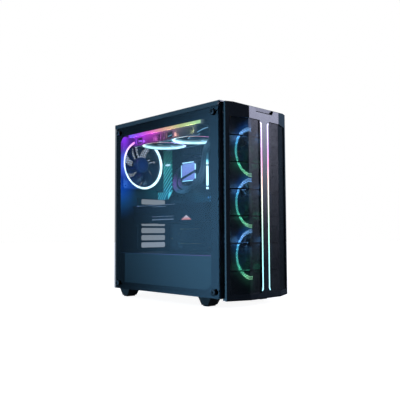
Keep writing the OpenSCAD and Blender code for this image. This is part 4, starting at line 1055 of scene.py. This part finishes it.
s = Solid()
for k in range(7):
    cross_screw(s, "x", (213.5, 132.9 + SLOT_STEP * k + 5.5), -35, -1, 3.5, 3.9)
for x, z in ((-74, 37), (-74, 101), (64, 101), (64, 27)):
    cross_screw(s, "y", (x, z), REAR_FACE, 1, 3.5, 2.1)
for x in (-62.25, 62.25):
    for z in (-62.25, 62.25):
        cross_screw(s, "y", (REAR_FAN[0] + x, REAR_FAN[1] + z), REAR_FACE, 1, 3.7, 2.1)
s.finish("rear_screws", "chassis", "screw_steel", SCREW_BLACK, 30)
s = Solid()
for z in (70, 400):
    cross_screw(s, "y", (100, z), 209.4, 1, 6, 5.8, knurl=True)
s.finish("side_panel_thumbscrews", "steel_side", "screw_steel", SCREW_BLACK, 30)

JACKS = [surface("jack_" + word, colour, 0.4) for word, colour in
         (("green", (0.05, 0.4, 0.1)), ("pink", (0.6, 0.12, 0.2)), ("blue", (0.05, 0.2, 0.6)))]
s = Solid()
for k in range(3):
    for x in (63.5, 69.4, 75.3):
        s.lathe("y", (x, 283 + k * 17), [(1.7, 206.9), (2.6, 206.9), (2.6, 209.2), (2.3, 209.6),
                                         (1.7, 209.6)], 28, 2 + k)
for z in (359, 378, 399):
    s.box((63, 76), (203.8, 207), (z + 0.8, z + 2.4), 1, 0.2)
    s.box((63, 76), (203.8, 207), (z - 2.6, z - 1.0), 1, 0.2)
for k in range(8):
    s.box((61 + k * 1.9, 61.7 + k * 1.9), (203.7, 206.2), (331.5, 338), 0)
for z in (331, 345):
    s.box((40, 50), (207.3, 207.6), (z, z + 8), 0, 0.1)
s.finish("rear_socket_parts", "chassis", "port_metal", [BRIGHT_STEEL, PORT_BLUE] + JACKS, 30)


# ---- stage

sc = bpy.context.scene


def turned(yaw, pitch, roll):
    """A camera's rotation from its heading, rise and roll in degrees."""
    y, p, r = (math.radians(a) for a in (yaw, pitch, roll))
    ahead = Vector((math.sin(y) * math.cos(p), math.cos(y) * math.cos(p), math.sin(p)))
    right = Vector((math.cos(y), -math.sin(y), 0))
    up = right.cross(ahead)
    right, up = (right * math.cos(r) + up * math.sin(r), up * math.cos(r) - right * math.sin(r))
    return Matrix((right, up, -ahead)).transposed().to_4x4()


cam = bpy.data.objects.new("camera", bpy.data.cameras.new("camera"))
sc.collection.objects.link(cam)
CAMERA_PLACE = (-0.98048, -1.0065, 0.16044)
CAMERA_TURN = (44.414, 3.664, -0.296)
cam.matrix_world = Matrix.Translation(CAMERA_PLACE) @ turned(*CAMERA_TURN)
cam.data.sensor_width = 36
cam.data.lens = 49.01
cam.data.clip_start = 0.01
sc.camera = cam


def lamp(kind, name, place, power, colour):
    """A lamp of a kind, linked to the scene."""
    data = bpy.data.lights.new(name, kind)
    data.energy = power
    data.color = colour
    ob = bpy.data.objects.new(name, data)
    ob.location = place
    sc.collection.objects.link(ob)
    return ob


roof = lamp("AREA", "roof_softbox", (-0.3, -0.2, 2.4), 14, (0.9, 0.95, 1))
roof.data.shape = "RECTANGLE"
roof.data.size = roof.data.size_y = 2.4
roof.rotation_euler = (Vector((0, 0, 0.2)) - roof.location).to_track_quat("-Z", "Y").to_euler()


def glow_lamp(name, place, power, colour, radius=0.02):
    """A small unseen lamp inside the tower."""
    ob = lamp("POINT", name, place, power, colour)
    ob.data.shadow_soft_size = radius
    ob.visible_camera = False


glow_lamp("glow_rear", (-0.095, 0.172, 0.30), 0.28, (0.1, 0.35, 1))
glow_lamp("glow_violet", (-0.098, 0.185, 0.40), 0.36, (0.4, 0.1, 1))
glow_lamp("glow_top", (-0.04, 0.03, 0.385), 0.5, (0.4, 0.8, 1))
glow_lamp("glow_board", (0.01, 0.125, 0.275), 0.18, (0.05, 0.5, 0.75), 0.035)
glow_lamp("glow_memory", (0.02, -0.04, 0.31), 0.24, (0.15, 0.6, 0.8))
for k, tone in enumerate(((0.8, 0.8, 0.3), (1, 0.45, 0.3), (1, 0.2, 0.7), (0.5, 0.15, 1))):
    glow_lamp(f"glow_bar_{k + 1}", (-0.1035, -0.08 + 0.07 * k, 0.408), 0.11, tone, 0.006)
for k in range(3):
    rise = FAN_STEP * MM * k
    glow_lamp(f"glow_front_{k + 1}", (-0.045, -0.196, 0.146 + rise), 0.05, (0.15, 0.45, 1), 0.01)
    glow_lamp(f"glow_front_low_{k + 1}", (-0.035, -0.19, 0.085 + rise), 0.02, (0.1, 0.8, 0.5),
              0.01)

floor_data = bpy.data.meshes.new("floor")
floor_data.from_pydata([(-9, -9, 0), (9, -9, 0), (9, 9, 0), (-9, 9, 0)], [], [(0, 1, 2, 3)])
floor = bpy.data.objects.new("floor", floor_data)
sc.collection.objects.link(floor)
# The floor and the world look white to the camera, and light the tower like a dim studio
paper = Tree("paper_floor")
seen = paper.add("LightPath").outputs["Is Camera Ray"]
bright = paper.add("BsdfPrincipled", Base_Color=(0.35, 0.35, 0.35), Roughness=0.9,
                   Emission_Color=(1, 1, 1), Emission_Strength=0.93)
dim = paper.add("BsdfDiffuse", Color=(0.22, 0.25, 0.28))
floor_data.materials.append(paper.finish(paper.blend(seen, dim, bright)))
floor.visible_glossy = False


class Sky(Tree):
    """The studio: a dim room with soft bright areas in given directions."""

    def __init__(self):
        self.mat = bpy.data.worlds.new("studio")
        self.mat.use_nodes = True
        self.mat.node_tree.nodes.clear()
        self.coords = self.add("TexCoord").outputs["Generated"]

    def patch(self, heading, rise, inner, outer, colour):
        """Light from round a heading and rise, full inside one angle and none past another."""
        h, r = math.radians(heading), math.radians(rise)
        aim = (math.cos(h) * math.cos(r), math.sin(h) * math.cos(r), math.sin(r))
        edges = (math.cos(math.radians(angle)) for angle in (outer, inner))
        return self.part(self.near("DOT_PRODUCT", aim, *edges), colour)


sky = Sky()
total = add_up(sky, (0.05, 0.062, 0.075), *(sky.patch(*spec) for spec in (
    (150, 0, 12, 24.5, (1.05, 2.6, 4.2)),   # behind on the left: the glass mirrors it
    (127, 6, 4, 18, (0.1, 0.25, 0.4)),
    (-41, 25, 9, 23, (7.6, 7.8, 10.4)),     # ahead on the right: the middle facet mirrors it
    (-2, 17, 3, 22, (0.1, 0.18, 0.3)),
    (60, 35, 5, 40, (0.5, 0.6, 0.7)),
    (-120, 40, 5, 30, (0.35, 0.45, 0.55)))))
seen = sky.add("LightPath").outputs["Is Camera Ray"]
out = sky.add("Background", Color=sky.mix(seen, total, (1, 1, 1)), Strength=1.0).outputs[0]
sky.mat.node_tree.links.new(out, sky.add("OutputWorld").inputs[0])
sc.world = sky.mat
sc.view_settings.view_transform = "Standard"
